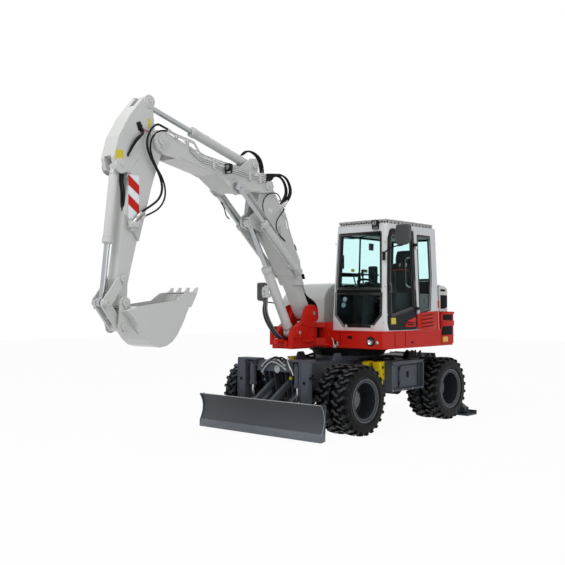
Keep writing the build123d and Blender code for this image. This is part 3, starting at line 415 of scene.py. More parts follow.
def paint(name, color, rough=0.32, coat=0.25, dust=0.10, edge=0.004, shine=0.35):
    finish = Finish(name)
    broad = finish.noise(1.7, 4)
    fine = finish.noise(38, 3)
    low = finish.ramp(finish.axis("Z") + broad * 0.6, (0.15, 1.0), (1.0, 0.0))
    film = finish.ramp(fine, (0.45, 0.0), (0.8, 1.0))
    base = finish.mix(broad, shade(color, 0.93), shade(color, 1.06))
    finish.feed(
        Base_Color=finish.mix(low * film * dust, base, dustTone),
        Roughness=rough + 0.10 * fine + low * 0.10,
        Specular_IOR_Level=shine,
        Coat_Weight=coat,
        Coat_Roughness=0.12,
        Normal=finish.bump(finish.noise(160, 2), 0.10, 0.0006, finish.rounding(edge)),
    )
    return finish.material


def rubber(name, color, rough, dust, shine=0.22):
    finish = Finish(name)
    broad = finish.noise(5, 4)
    fine = finish.noise(90, 4)
    film = finish.ramp(broad * fine * 2.0, (0.35, 0.0), (0.75, 1.0))
    finish.feed(
        Base_Color=finish.mix(film * dust, shade(color, 1.0), (0.10, 0.095, 0.088, 1)),
        Roughness=rough + film * 0.25 + fine * 0.12,
        Specular_IOR_Level=shine,
        Normal=finish.bump(fine, 0.25, 0.0012),
    )
    return finish.material


def tyreWearAndHighlight(name, color, worn):
    # black rubber, greyer on the lugs' faces, partly as worn rubber and partly as a painted highlight, told by their
    # distance from the axles
    finish = Finish(name)
    fine = finish.noise(90, 4)
    patch = finish.noise(14, 3)
    along = abs(finish.axis("X") - machine["slewX"] / 1000) - machine["axleX"] / 1000
    up = finish.axis("Z") - machine["axleZ"] / 1000
    outer = finish.ramp((along * along + up * up) * 4 + fine * 0.03, (0.905, 0.0), (0.938, 1.0))
    finish.feed(
        # the lugs' faces painted greyer: worn rubber together with a painted highlight
        Base_Color=finish.mix(outer * (0.35 + patch), shade(color, 1.0), shade(worn, 1.0)),
        Roughness=0.32 + fine * 0.12,
        Specular_IOR_Level=0.09,
        Normal=finish.bump(fine, 0.25, 0.0012),
    )
    return finish.material


def plastic(name, color, rough=0.5, grain=0.25, shine=0.22):
    finish = Finish(name)
    grainy = finish.noise(420, 2)
    finish.feed(
        Base_Color=finish.mix(finish.noise(6, 3), shade(color, 0.85), shade(color, 1.15)),
        Roughness=rough + 0.12 * grainy,
        Specular_IOR_Level=shine,
        Normal=finish.bump(grainy, grain, 0.0004, finish.rounding(0.002)),
    )
    return finish.material


def metal(name, color, rough, brushed):
    finish = Finish(name)
    streak = finish.noise(240, 2)
    broad = finish.noise(8, 3)
    finish.feed(
        Base_Color=finish.mix(broad, shade(color, 0.9), shade(color, 1.05)),
        Metallic=1.0,
        Roughness=rough + 0.10 * broad + brushed * streak,
        Normal=finish.bump(streak, 0.08, 0.0003, finish.rounding(0.0015)),
    )
    return finish.material


def glassy(name, color, rough):
    finish = Finish(name)
    finish.feed(
        Base_Color=(*color, 1),
        Roughness=rough + 0.02 * finish.noise(3, 3),
        Transmission_Weight=1.0,
        IOR=1.06,
    )
    return finish.material


def bladePaint():
    # blue-grey paint, paler and scratched on the cutting edge, and darkened towards the top as painted shade of the
    # concave face
    finish = Finish("bladePaint")
    color = (0.072, 0.080, 0.090)
    broad = finish.noise(2.2, 4)
    scratch = finish.noise(6, 5, stretch=(30, 1.2, 14))
    low = finish.ramp(finish.axis("Z") + scratch * 0.012, (0.140, 1.0), (0.155, 0.0))
    # painted shade: the mouldboard darker towards its top, as the concave face turns from the light
    high = finish.ramp(finish.axis("Z"), (0.16, 0.0), (0.48, 1.0))
    worn = finish.ramp(scratch, (0.55, 0.0), (0.72, 1.0))
    base = finish.mix(broad, shade(color, 0.9), shade(color, 1.12))
    edge = finish.mix(worn, (0.15, 0.168, 0.19, 1), (0.22, 0.235, 0.255, 1))
    finish.feed(
        Base_Color=finish.mix(low, finish.mix(high, base, shade(color, 0.74)), edge),
        Specular_IOR_Level=0.2,
        Roughness=0.36 + broad * 0.12 - low * 0.06,
        Metallic=low * worn * 0.4,
        Normal=finish.bump(finish.noise(150, 2), 0.1, 0.0006, finish.rounding(0.003)),
    )
    return finish.material


colors = {
    "armGrey": (0.58, 0.585, 0.565),
    "cabGrey": (0.68, 0.70, 0.705),
    "red": (0.58, 0.013, 0.006),
    "steelBlue": (0.070, 0.082, 0.099),
    "rimBlue": (0.026, 0.031, 0.039),
}
armPaint = paint("armPaint", colors["armGrey"])
cabPaint = paint("cabPaint", colors["cabGrey"], dust=0.05)
redPaint = paint("redPaint", colors["red"], rough=0.30, coat=0.06, shine=0.12)
chassisPaint = paint("chassisPaint", colors["steelBlue"], rough=0.42, coat=0.03, dust=0.12, shine=0.2)
rimPaint = paint("rimPaint", colors["rimBlue"], rough=0.36, coat=0.05, dust=0.12, shine=0.2)
castBlack = paint("castBlack", (0.010, 0.011, 0.013), rough=0.5, coat=0.0, dust=0.1, edge=0.006, shine=0.1)
guardGrey = paint("guardGrey", (0.42, 0.42, 0.41), rough=0.4, coat=0.1)
bladeFinish = bladePaint()
tyreRubber = tyreWearAndHighlight("tyreRubber", (0.0036, 0.0038, 0.0045), (0.058, 0.062, 0.068))
hoseRubber = rubber("hoseRubber", (0.009, 0.009, 0.010), 0.42, 0.05, 0.12)
sealRubber = rubber("sealRubber", (0.006, 0.006, 0.006), 0.6, 0.03, 0.08)
trimPlastic = plastic("trimPlastic", (0.010, 0.011, 0.013), shine=0.14)
mirrorPlastic = plastic("mirrorPlastic", (0.045, 0.047, 0.052), 0.25, shine=0.4)
insidePlastic = plastic("insidePlastic", (0.024, 0.027, 0.031), 0.55, shine=0.1)
paleLining = plastic("paleLining", (0.34, 0.37, 0.38), 0.6)
chrome = metal("chrome", (0.42, 0.435, 0.45), 0.12, 0.0)
zinc = metal("zinc", (0.50, 0.50, 0.49), 0.28, 0.1)
tintedGlass = glassy("tintedGlass", (0.80, 0.975, 0.97), 0.0)
lampGlass = glassy("lampGlass", (0.95, 0.97, 0.98), 0.05)
signYellow = paint("signYellow", (0.66, 0.53, 0.015), rough=0.3, coat=0.2, dust=0.0, edge=0.001)
amber = paint("amber", (0.80, 0.40, 0.008), rough=0.2, coat=0.1, dust=0.0, edge=0.002)
whitePlate = paint("whitePlate", (0.75, 0.76, 0.77), rough=0.3, coat=0.2, dust=0.0, edge=0.001)
print("finishes ready")

studio = {
    "floor": 60.0,
    "camera": (8.7553, 7.6523, 1.7912),
    "yaw": 3.872,
    "pitch": 0.0272,
    "lens": 51.68,
    "skyStrength": 0.50,
    "floorWhite": 0.955,
}


def whiteToEye(tree, plain, out, share=1.0):
    # white, wholly or for a share, to rays from the camera and to those in glass and polished metal
    rays = tree.nodes.new("ShaderNodeLightPath")
    white = tree.nodes.new("ShaderNodeEmission" if out.type == "OUTPUT_MATERIAL" else "ShaderNodeBackground")
    mixed = tree.nodes.new("ShaderNodeMixShader")
    either = rays.outputs["Is Camera Ray"]
    for kind in ("Is Glossy Ray", "Is Transmission Ray"):
        larger = tree.nodes.new("ShaderNodeMath")
        larger.operation = "MAXIMUM"
        tree.links.new(either, larger.inputs[0])
        tree.links.new(rays.outputs[kind], larger.inputs[1])
        either = larger.outputs[0]
    white.inputs["Color"].default_value = (1, 1, 1, 1)
    white.inputs["Strength"].default_value = 1.0
    part = tree.nodes.new("ShaderNodeMath")
    part.operation = "MULTIPLY"
    part.inputs[1].default_value = share
    tree.links.new(either, part.inputs[0])
    tree.links.new(part.outputs[0], mixed.inputs[0])
    tree.links.new(plain.outputs[0], mixed.inputs[1])
    tree.links.new(white.outputs[0], mixed.inputs[2])
    tree.links.new(mixed.outputs[0], out.inputs["Surface"])


def makeFloor():
    deselect()
    bpy.ops.mesh.primitive_plane_add(size=studio["floor"])
    floor = bpy.context.object
    floor.name = "studioFloor"
    finish = Finish("studioFloor")
    finish.feed(Base_Color=(0.9, 0.9, 0.9, 1), Roughness=0.9)
    whiteToEye(finish.tree, finish.shader, finish.tree.nodes["Material Output"], studio["floorWhite"])
    floor.data.materials.append(finish.material)


def makeSky():
    world = bpy.data.worlds.new("studioSky")
    bpy.context.scene.world = world
    world.use_nodes = True
    tree = world.node_tree
    plain = tree.nodes["Background"]
    plain.inputs["Color"].default_value = (0.94, 0.965, 1.0, 1)
    plain.inputs["Strength"].default_value = studio["skyStrength"]
    whiteToEye(tree, plain, tree.nodes["World Output"])


def makeLamp(name, place, target, size, power):
    lamp = bpy.data.lights.new(name, "AREA")
    lamp.size = size
    lamp.energy = power
    holder = bpy.data.objects.new(name, lamp)
    holder.location = place
    holder.rotation_euler = (Vector(target) - Vector(place)).to_track_quat("-Z", "Y").to_euler()
    bpy.context.scene.collection.objects.link(holder)


def makeCamera():
    camera = bpy.data.cameras.new("camera")
    camera.lens = studio["lens"]
    camera.sensor_width = 36
    camera.clip_end = 200
    holder = bpy.data.objects.new("camera", camera)
    holder.location = studio["camera"]
    yaw, pitch = studio["yaw"], studio["pitch"]
    look = Vector((cos(yaw) * cos(pitch), sin(yaw) * cos(pitch), sin(pitch)))
    holder.rotation_euler = look.to_track_quat("-Z", "Y").to_euler()
    bpy.context.scene.collection.objects.link(holder)
    bpy.context.scene.camera = holder


makeFloor()
makeSky()
makeCamera()
makeLamp("keyLamp", (7.5, 1.0, 9.0), (0, 0, 1.3), 5.0, 430)
makeLamp("sideLamp", (1.0, 11.0, 5.0), (0, 0, 1.2), 6.0, 170)
bpy.context.scene.view_settings.view_transform = "Standard"
print("stage ready")

nodeFinishes = (
    (chassisPaint, (
        "chassis_frame", "tool_boxes", "stabiliser_leg_left", "stabiliser_leg_right", "blade_arms", "blade_links",
        "blade_barrels", "stabiliser_barrel_left", "stabiliser_barrel_right",
    )),
    (bladeFinish, ("blade",)),
    (castBlack, (
        "front_axle", "rear_axle", "driveline", "knuckle_left", "knuckle_right", "steering_rod", "slew_ring",
        "engine",
    )),
    (redPaint, ("upper_frame", "counterweight", "swing_post")),
    (cabPaint, ("engine_hood", "side_hood", "cab_shell")),
    (armPaint, (
        "boom_lower", "boom_upper", "stick", "boom_barrel", "adjust_barrels",
        "stick_barrel", "bucket_barrel", "bucket_lever", "bucket_link", "swing_barrel", "bucket",
    )),
    (chrome, (
        "boom_rod", "adjust_rods", "stick_rod", "bucket_rod", "blade_rods", "stabiliser_rod_left",
        "stabiliser_rod_right", "swing_rod",
    )),
    (tintedGlass, ("cab_glass", "door_glass")),
    (trimPlastic, ("cab_door", "mirrors")),
    (insidePlastic, ("seat", "console")),
    (guardGrey, ("roof_guard",)),
    (rimPaint, ("rims_front_left", "rims_front_right", "rims_rear_left", "rims_rear_right")),
    (tyreRubber, ("tyres_front_left", "tyres_front_right", "tyres_rear_left", "tyres_rear_right")),
)
for finish, nodeNames in nodeFinishes:
    for nodeName in nodeNames:
        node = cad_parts[nodeName]
        node.data.materials.clear()
        node.data.materials.append(finish)
        for face in node.data.polygons:
            face.use_smooth = False
print("frame painted")

tyre = {
    "radius": 485.0,
    "crown": 458.0,
    "half": 125.0,
    "lugs": 24,  # on each side of the middle
    "lugAcross": 50.0,
    "zigzag": 46.0,
}


def warpToTyre(piece):
    # from flat (round the tyre, across it, height) to round, about the front left wheel's middle
    for vertex in piece.data.vertices:
        run, across, high = vertex.co * 1000
        turn = run / tyre["radius"]
        reach = tyre["crown"] + high - 13 * (abs(across) / tyre["half"]) ** 3
        vertex.co = Vector((reach * sin(turn), across, reach * cos(turn))) / 1000
    return piece


def tyreLug():
    # one bar of the tread: straight at the shoulder, slanting inwards, straight again near the middle
    half, bend = tyre["lugAcross"] / 2, tyre["zigzag"]
    low = [
        (-half, 124), (half, 124), (half, 84), (bend + half - 4, 44), (bend + half - 4, -6),
        (bend - half + 8, -6), (bend - half + 4, 36), (-half, 74),
    ]
    piece = outline(low, Vector((0, 0, -0.004)), xWay, yWay)
    with editing():
        bpy.ops.mesh.extrude_region_move(TRANSFORM_OT_translate={"value": (0, 0, 0.031)})
        bpy.ops.transform.resize(value=(0.86, 0.955, 1))
    return warpToTyre(rounded(outward(piece), 3.5, 2, 40))


def buttress():
    # the lug's foot running down the side wall
    piece = outline([(-20, 0), (20, 0), (15, -44), (-15, -44)], Vector((0, 0.1235, 0.450)), xWay, zWay)
    return thickened(piece, Vector((0, -26, 0)), 3)


def makeTyre():
    side = [
        (109, 258), (109, 292), (114, 300), (119, 318), (123, 345), (125, 352), (125, 356), (123.4, 360),
        (124, 385), (123, 410), (118, 436), (108, 449), (80, 456), (40, 458),
    ]
    profile = side + [(-y, r) for y, r in reversed(side)]
    profile += [(-84, 258), (-84, 292), (-104, 340), (-90, 410), (90, 410), (104, 340), (84, 292), (84, 258)]
    carcass = turned(profile, (0, 0, 0), "Y", 96)
    carcass.data.transform(Matrix.Translation(-at(0, 0, 0)))
    lug, foot = tyreLug(), buttress()
    pieces = [carcass]
    for index in range(tyre["lugs"]):
        for hand in (1, -1):
            turn = 2 * pi * (index + (0.5 if hand < 0 else 0.0)) / tyre["lugs"]
            place = Matrix.Rotation(turn, 4, "Y") @ Matrix.Scale(hand, 4, (0, 1, 0))
            pieces += [copied(lug, place), copied(foot, place)]
    for spare in (lug, foot):
        bpy.data.objects.remove(spare)
    return smooth(joined(pieces), 40)


def makeWheels():
    model = makeTyre()
    for end, axleX in (("front", machine["axleX"]), ("rear", -machine["axleX"])):
        for label, side in (("left", 1), ("right", -1)):
            tyres = []
            for turn, y in ((0.0, machine["innerTwinY"]), (0.09, machine["outerTwinY"])):
                place = Matrix.Translation(at(axleX, side * y, machine["axleZ"]))
                tyres.append(copied(model, place @ Matrix.Rotation(turn * side, 4, "Y")))
            name = "tyres" + end.capitalize() + label.capitalize()
            piece = fitted(name, tyres, f"wheel_{end}_{label}", tyreRubber)
            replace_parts(piece, f"tyres_{end}_{label}")
            dressRim(end, label, axleX, side)
    bpy.data.objects.remove(model)


def dressRim(end, label, axleX, side):
    body = f"wheel_{end}_{label}"
    z = machine["axleZ"]
    dish = side * 879
    face = side * 921  # outer face of the hub's cap
    name = end.capitalize() + label.capitalize()
    # the rim's lip and bead are painted in the paler hub grey as a painted highlight along the lip
    rimLip = turned(
        [(a * side + side * 1133, r) for a, r in ((-9, 290), (2, 290), (5, 293), (5, 296), (1, 299), (-6, 297))],
        (axleX, 0, z), "Y", 72,
    )
    bead = turned(
        [(a * side + side * 1124, r) for a, r in ((-6, 246), (3, 246), (6, 252), (6, 258), (0, 262))],
        (axleX, 0, z), "Y", 72,
    )
    fitted("rimLips" + name, [rimLip, bead], body, hubGreyAndLipHighlight)
    cap = turned(
        [(face - side * 4, 0), (face - side * 4, 134), (face + side * 18, 134), (face + side * 26, 124),
         (face + side * 26, 40), (face + side * 32, 34), (face + side * 32, 0)],
        (axleX, 0, z), "Y", 48,
    )
    fitted("hubCap" + name, cap, body, hubGreyAndLipHighlight)
    turns = [pi * index / 5 for index in range(10)]
    nuts = [(axleX + 168 * sin(turn), dish, z + 168 * cos(turn)) for turn in turns]
    heads = bolts(nuts, (0, side, 0), 15)
    studs = [rod((x, y - side * 2, zz), (x, y + side * 26, zz), 8, 1, 12) for x, y, zz in nuts]
    capNuts = bolts(
        [(axleX + 98 * sin(0.6 + i * pi / 3), face + side * 26, z + 98 * cos(0.6 + i * pi / 3)) for i in range(6)],
        (0, side, 0), 6,
    )
    fitted("wheelNuts" + name, [heads, capNuts] + studs, body, zinc)
    valve = hose(
        [(axleX + 150, dish, z - 170), (axleX + 150, dish + side * 30, z - 172),
         (axleX + 158, dish + side * 110, z - 182), (axleX + 160, dish + side * 150, z - 184)], 5,
    )
    fitted("valveStem" + name, valve, body, zinc)


# grey for the hub caps, and a painted highlight on the rims' lips and beads
hubGreyAndLipHighlight = paint("hubGreyAndLipHighlight", (0.17, 0.185, 0.205), rough=0.35, coat=0.2, dust=0.1)
makeWheels()
print("wheels ready")

chassis = {
    "boxFront": 300.0,
    "boxRear": -560.0,
    "boxTop": 955.0,
    "boxSide": 1000.0,
    "braceFace": 1700.0,
    "postFace": 1770.0,
    "bladeFace": 2070.0,
    "bladeTop": 506.0,
    "bladeHalf": 1138.0,
    "legX": -1790.0,
}


def softened(points, radius=24.0, steps=4):
    # a drawn outline with its corners rounded
    places = [Vector((u, v)) for u, v in points]
    full = []
    for index, corner in enumerate(places):
        before, after = places[index - 1], places[(index + 1) % len(places)]
        a = corner + (before - corner).normalized() * min(radius, (before - corner).length * 0.45)
        b = corner + (after - corner).normalized() * min(radius, (after - corner).length * 0.45)
        for step in range(steps + 1):
            t = step / steps
            full.append(tuple(a * (1 - t) ** 2 + corner * 2 * t * (1 - t) + b * t * t))
    return full


def sidePlates(shape, rows, edge, segments=2):
    # one outline in a side view at several levels; rows: (level, thickness)
    return [plate(shape, "side", level, thick, edge, segments) for level, thick in rows]


def makeFrontFace():
    # tubes, hoses, caps and unions in front of the chassis, between the blade's arms
    x = chassis["braceFace"] + 22
    tubes = [
        pipe([(x - 24, -228, 842), (x, -225, 852), (x, -129, 952), (x, -55, 994), (x, 40, 984), (x, 140, 940),
              (x, 206, 900), (x - 24, 214, 880)], 11, 60),
        pipe([(x - 24, -232, 920), (x, -226, 932), (x, -140, 1002), (x, -70, 1040), (x, 62, 1036), (x, 192, 952),
              (x - 24, 200, 940)], 11, 60),
    ]
    fitted("frontTubes", tubes, "chassis", paleTubeAndHighlight)
    ends = ((-228, 846), (-226, 930), (204, 902), (192, 952))
    nuts = [rod((x - 22, y, z), (x + 4, y, z), 19, 2, 6) for y, z in ends]
    profile = [(-1, 52), (10, 52), (14, 48), (14, 30), (6, 26), (6, 0), (-1, 0)]
    boss = turned(profile, (chassis["braceFace"], 46, 892), "X", 40)
    fitted("frontUnions", nuts + [boss], "chassis", paleTubeAndHighlight)
    silver = [
        hose([(x + 6, 266, 1052), (x + 10, 272, 1000), (x + 8, 300, 945), (x + 4, 338, 880),
              (x - 10, 350, 820)], 13, 3),
        rod((x + 6, 264, 1060), (x + 9, 270, 1008), 19, 3, 6), rod((x + 8, 302, 942), (x + 5, 330, 892), 18, 3, 6),
    ]
    for px, z in ((1570, 790), (1558, 712), (1536, 605)):
        silver.append(rod((px, -302, z), (px, -338, z), 15, 2, 6))
        silver.append(rod((px, -330, z), (px + 26, -334, z + 6), 11, 2, 16))
    fitted("frontFittings", silver, "chassis", zinc)
    dark = [
        hose([(x + 2, -60, 1020), (x + 14, 10, 1060), (x + 6, 90, 1058), (x - 20, 150, 1010)], 14, 3),
        hose([(x - 4, 30, 1024), (x + 8, 110, 1064), (x, 190, 1050), (x - 20, 230, 1008)], 12, 3),
        hose([(1570, -340, 790), (1590, -344, 760), (1580, -338, 700), (1560, -330, 640)], 12, 3),
        hose([(1600, 60, 860), (1640, 76, 800), (1625, 86, 730), (1585, 80, 660), (1560, 70, 600)], 13, 3),
    ]
    fitted("frontHoses", dark, "chassis", hoseRubber)
    cap = turned([(0, 26), (20, 26), (26, 20), (26, 11), (18, 9), (18, 0), (0, 0)], (1596, 211, 770), "X", 28)
    fitted("yellowCap", cap, "chassis", signYellow)


def makeFrontPosts():
    face = chassis["postFace"]
    edges = bothSides(
        block((face - 2, 508, 462), (face + 6, 530, 1012), 4),
        block((face - 2, 644, 462), (face + 6, 664, 1012), 4),
        block((face - 74, 658, 462), (face, 668, 1010)),
        block((1596, 298, 1026), (face + 4, 664, 1034), 4),
        plate(softened([(860, 962), (806, 1085), (674, 1085), (604, 962)], 26), "side", 352, 20, 4, 3),
        block((1250, 330, 958), (1600, 352, 968)),
        block((chassis["boxFront"], 334, 950), (1250, 352, 966)),
    )
    edges.append(block((chassis["braceFace"] - 2, -340, 994), (chassis["braceFace"] + 8, 340, 1006)))
    edges.append(block((1352, -300, 998), (1660, 300, 1006)))
    fitted("postEdges", edges, "chassis", chassisPaint)
    holes = bothSides(
        rod((face - 4, 590, 736), (face + 3, 590, 736), 24, 1, 24),
        plate(softened([(1694, 786), (1764, 796), (1764, 812), (1694, 812)], 5), "side", 700, 70, 3),
        rod((1700, 690, 816), (1700, 690, 850), 12, 2, 20),
    )
    fitted("postHoles", holes, "chassis", sealRubber)
    places = [(face + 4, y, z) for y in (519, -519) for z in (520, 640, 860, 980)]
    fitted("postBolts", bolts(places, xWay, 8), "chassis", chassisPaint)
    fitted("postRings", bothSides(ring((face + 3, 590, 736), 26, 4, xWay, 32, 8)), "chassis", chassisPaint)


def bladeArc(depth, low, high, face, steps=14):
    # the concave face, from its foot to its top
    points = []
    for index in range(steps + 1):
        share = index / steps
        points.append((face - depth * 4 * share * (1 - share) * (0.86 + 0.28 * share), low + (high - low) * share))
    return points


def makeBlade():
    # mouldboard, edge, back beam, end plates with their lifting holes, ears and pins
    face, top, half = chassis["bladeFace"], chassis["bladeTop"], chassis["bladeHalf"]
    front = bladeArc(64, 122, top, face)
    beam = ((-140, 110), (-26, 110), (-30, 130), (-50, 165), (-66, 205), (-140, 205))
    cuttingEdge = ((-22, 147), (-6, 150), (4, 120), (12, 32), (6, 31.5), (-8, 36))
    ear = ((-185, 225), (-135, 150), (-50, 150), (-84, 230), (-90, 314), (-80, 400), (-38, 485), (-110, 492),
           (-145, 460), (-185, 300))
    rib = ((-120, 205), (-66, 205), (-84, 240), (-92, 314), (-84, 400), (-52, 470), (-66, 478), (-100, 400),
           (-120, 300))

    def behind(shape):
        return [(face + x, z) for x, z in shape]

    pieces = [
        plate(front + [(x - 20, z) for x, z in front[::-1]], "side", 0, 2 * (half - 6)),
        plate(behind(cuttingEdge), "side", 0, 2 * half - 4),
        plate(behind(beam), "side", 0, 2 * (half - 130), 6, 3),
    ]
    lip = [(x + 9, z) for x, z in bladeArc(64, 122, top - 8, face, 10)]
    shape = behind([(-75, 44), (12, 32)]) + lip + behind([(6, top), (-85, top), (-97, top - 25), (-84, top - 110)])
    end = plate(shape, "side", half - 6, 12, 2.5)
    bore = rod((face - 62, half - 20, top - 32), (face - 62, half + 8, top - 32), 15, 0, 32)
    applied(end, "BOOLEAN", object=bore, operation="DIFFERENCE", solver="EXACT")
    bpy.data.objects.remove(bore)
    left = [smooth(end)] + sidePlates(behind(ear), ((103.5, 17), (197.5, 19), (292.5, 15)), 4, 3)
    for x, y, z in ((face - 150, 245, 260), (face - 110, 150, 450)):
        left.append(rod((x, y - 55, z), (x, y + 55, z), 25, 2, 28))
        left += [rod((x, y + way * 55, z), (x, y + way * 66, z), 33, 3, 28) for way in (-1, 1)]
    left += sidePlates(behind(rib), ((430, 14), (760, 14)), 3)
    left.append(ring((face - 62, half + 1, top - 32), 18, 3.5, yWay, 28, 8))
    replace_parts(fitted("dozerBlade", pieces + bothSides(*left), "blade", bladeFinish), "blade")
    # pale lines along the blade's top edge and along its lip at both ends: painted highlights of the lit edges
    lines = [hose([(face - 4, y, top) for y in (-half + 14, 0, half - 14)], 5, 3)]
    lines += bothSides(hose([(x, half - 1, z) for x, z in lip], 3, 3))
    fitted("bladeEdgeHighlights", lines, "blade", paleTubeAndHighlight)


def makeArmHighlights():
    # pale strips along the blade's arms' upper edges: painted highlights of the lit edges
    lines = [rod((1462, y, 588), (1908, y, 308), 5, 1, 12) for y in (216, 274)]
    fitted("bladeArmHighlights", bothSides(*lines), "blade_arms", paleTubeAndHighlight)


def makeLowPins():
    # heads of the blade's and the legs' pins
    caps = [
        rod((x, y, z), (x, y + out, z), radius, 3, 28)
        for x, y, z, out, radius in ((1460, 300, 550, 9, 34), (1500, 205, 740, 9, 34), (1705, 492, 968, 11, 30))
    ]
    fitted("bladePinCaps", bothSides(*caps), "chassis", chassisPaint)
    x = chassis["legX"]
    ends = [
        rod((x + out * 9, y, z), (x + out * 10, y, z), radius, 3, 28)
        for y, z, radius in ((400, 550, 36), (250, 900, 30)) for out in (10, -10)
    ]
    fitted("legPinCaps", bothSides(*ends), "chassis", chassisPaint)


def makeChocks():
    shape = softened([
        (304, 590), (330, 590), (350, 640), (388, 755), (448, 895), (452, 945), (410, 966), (304, 966),
    ], 14)
    wedges, holes, holders = [], [], []
    for y in (825, 640):
        near, far = y - 56, y + 56
        wedges.append(plate(shape, "side", y, far - near, 8, 3))
        for level in (65, 155, 245):
            low = (346 + level * 0.28, near + 12, 590 + level)
            wedges.append(block(low, (366 + level * 0.30, far - 12, 612 + level), 5))
        holes.append(rod((352, near - 3, 880), (352, far + 3, 880), 22, 2, 24))
        holes.append(rod((340, near - 3, 780), (340, far + 3, 780), 12, 2, 20))
        holders.append(block((298, y - 64, 560), (340, y + 64, 592), 4))
        holders += [block((300, edge, 610), (350, edge + 6, 700)) for edge in (y - 64, y + 58)]
    fitted("wheelChocks", bothSides(*wedges), "chassis", chockYellow)
    fitted("chockHoles", bothSides(*holes), "chassis", sealRubber)
    fitted("chockHolders", bothSides(*holders), "chassis", chassisPaint)


def makeToolBoxes():
    front, rear, top, side = (chassis[key] for key in ("boxFront", "boxRear", "boxTop", "boxSide"))
    level = side - 45
    door = softened([(-400, 580), (66, 580), (66, 828), (14, 890), (-400, 890)], 20)
    inner = softened([(-372, 606), (40, 606), (40, 816), (2, 862), (-372, 862)], 16)
    frames = [
        plate(door, "side", level + 16, 12, 4, 3), plate(inner, "side", level + 22, 6, 3),
        block((rear + 30, level - 2, 562), (rear + 42, level + 22, 912)),
        block((rear + 96, level - 2, 562), (rear + 108, level + 22, 912)),
        block((rear - 4, side - 30, top - 2), (front + 6, side + 4, top + 8), 4),
        block((rear - 4, side - 6, top - 42), (front + 4, side + 3, top), 4),
        block((rear - 4, side - 6, 528), (front + 4, side + 3, 560), 4),
        block((front - 34, side - 6, 540), (front + 4, side + 3, top - 10), 4),
        block((rear - 4, side - 6, 540), (rear + 30, side + 3, top - 10), 4),
    ]
    y = level + 9
    seal = hose([(70, y, 585), (70, y, 825), (16, y, 893), (-200, y, 894), (-404, y, 894)], 4, 1)
    latches = [plate(softened(box(-170, 712, -112, 806), 8), "side", level + 28, 8, 3)]
    latches += [rod((60, level + 12, z - 26), (60, level + 12, z + 26), 11, 2, 18) for z in (640, 850)]
    slots = [
        plate(softened(box(-158, 724, -124, 794), 6), "side", level + 31, 6),
        plate(softened(box(-486, 606, -452, 806), 6), "side", level + 4, 12),
    ]
    heads = bolts([(x, side + 3, 545) for x in (-520, -250, 20, 270)], yWay, 8)
    fitted("toolBoxFrames", bothSides(*frames), "chassis", chassisPaint)
    fitted("toolBoxSeals", bothSides(seal), "chassis", sealRubber)
    fitted("toolBoxLatches", bothSides(*latches), "chassis", trimPlastic)
    fitted("toolBoxSlots", bothSides(*slots), "chassis", sealRubber)
    fitted("toolBoxBolts", bothSides(heads), "chassis", zinc)


def makeTopBrackets():
    # black steel parts on the chassis beside the slew ring
    shape = softened([
        (-925, 955), (-905, 1080), (-845, 1052), (-805, 1000), (-768, 1000), (-728, 1062), (-648, 1092), (-560, 1040),
        (-520, 955),
    ], 16)
    parts = sidePlates(shape, ((640, 16), (730, 16)), 4)
    parts += [
        block((-900, 640, 955), (-540, 730, 985), 4),
        rod((-640, 632, 1050), (-640, 742, 1050), 18, 3, 24),
        block((-330, 560, 956), (280, 660, 966)),
        hose([(-520, 600, 985), (-300, 600, 1010), (0, 640, 1020), (220, 620, 1004), (420, 520, 980)], 16, 3),
        hose([(-520, 650, 980), (-280, 660, 1000), (40, 700, 1000), (290, 650, 985)], 13, 3),
    ]
    fitted("topBrackets", bothSides(*parts), "chassis", castBlack)
    feet = [block((x - 12, 594, 956), (x + 12, 672, 1000), 4) for x in (-250, 40, 250)]
    fitted("hoseFeet", bothSides(*feet), "chassis", castBlack)


def makeLegDetails():
    for label, side in (("left", 1), ("right", -1)):
        x = chassis["legX"]
        parts = [block((px, side * 842, 36), (px + 14, side * 1138, 66), 4) for px in (x - 150, x + 136)]
        for k in range(5):
            parts.append(block((x - 120 + k * 56, side * 850, 22), (x - 108 + k * 56, side * 1130, 34)))
        for a in (-66, 54):
            parts.append(turned([(a, 40), (a + 12, 40), (a + 12, 22), (a, 22)], (x, side * 975, 92), "X", 28))
        fitted("legPad" + label.capitalize(), parts, "stabiliser_" + label, chassisPaint)


# pale grey for the front tubes and unions, and for the painted highlights along the blade's and its arms' edges
paleTubeAndHighlight = paint("paleTubeAndHighlight", (0.40, 0.42, 0.43), rough=0.3, coat=0.1, dust=0.1, edge=0.002)
chockYellow = paint("chockYellow", (0.74, 0.56, 0.008), rough=0.4, coat=0.05, dust=0.1, edge=0.003, shine=0.2)
makeFrontFace()
makeFrontPosts()
makeBlade()
makeArmHighlights()
makeLowPins()
makeChocks()
makeToolBoxes()
makeTopBrackets()
makeLegDetails()
print("chassis ready")

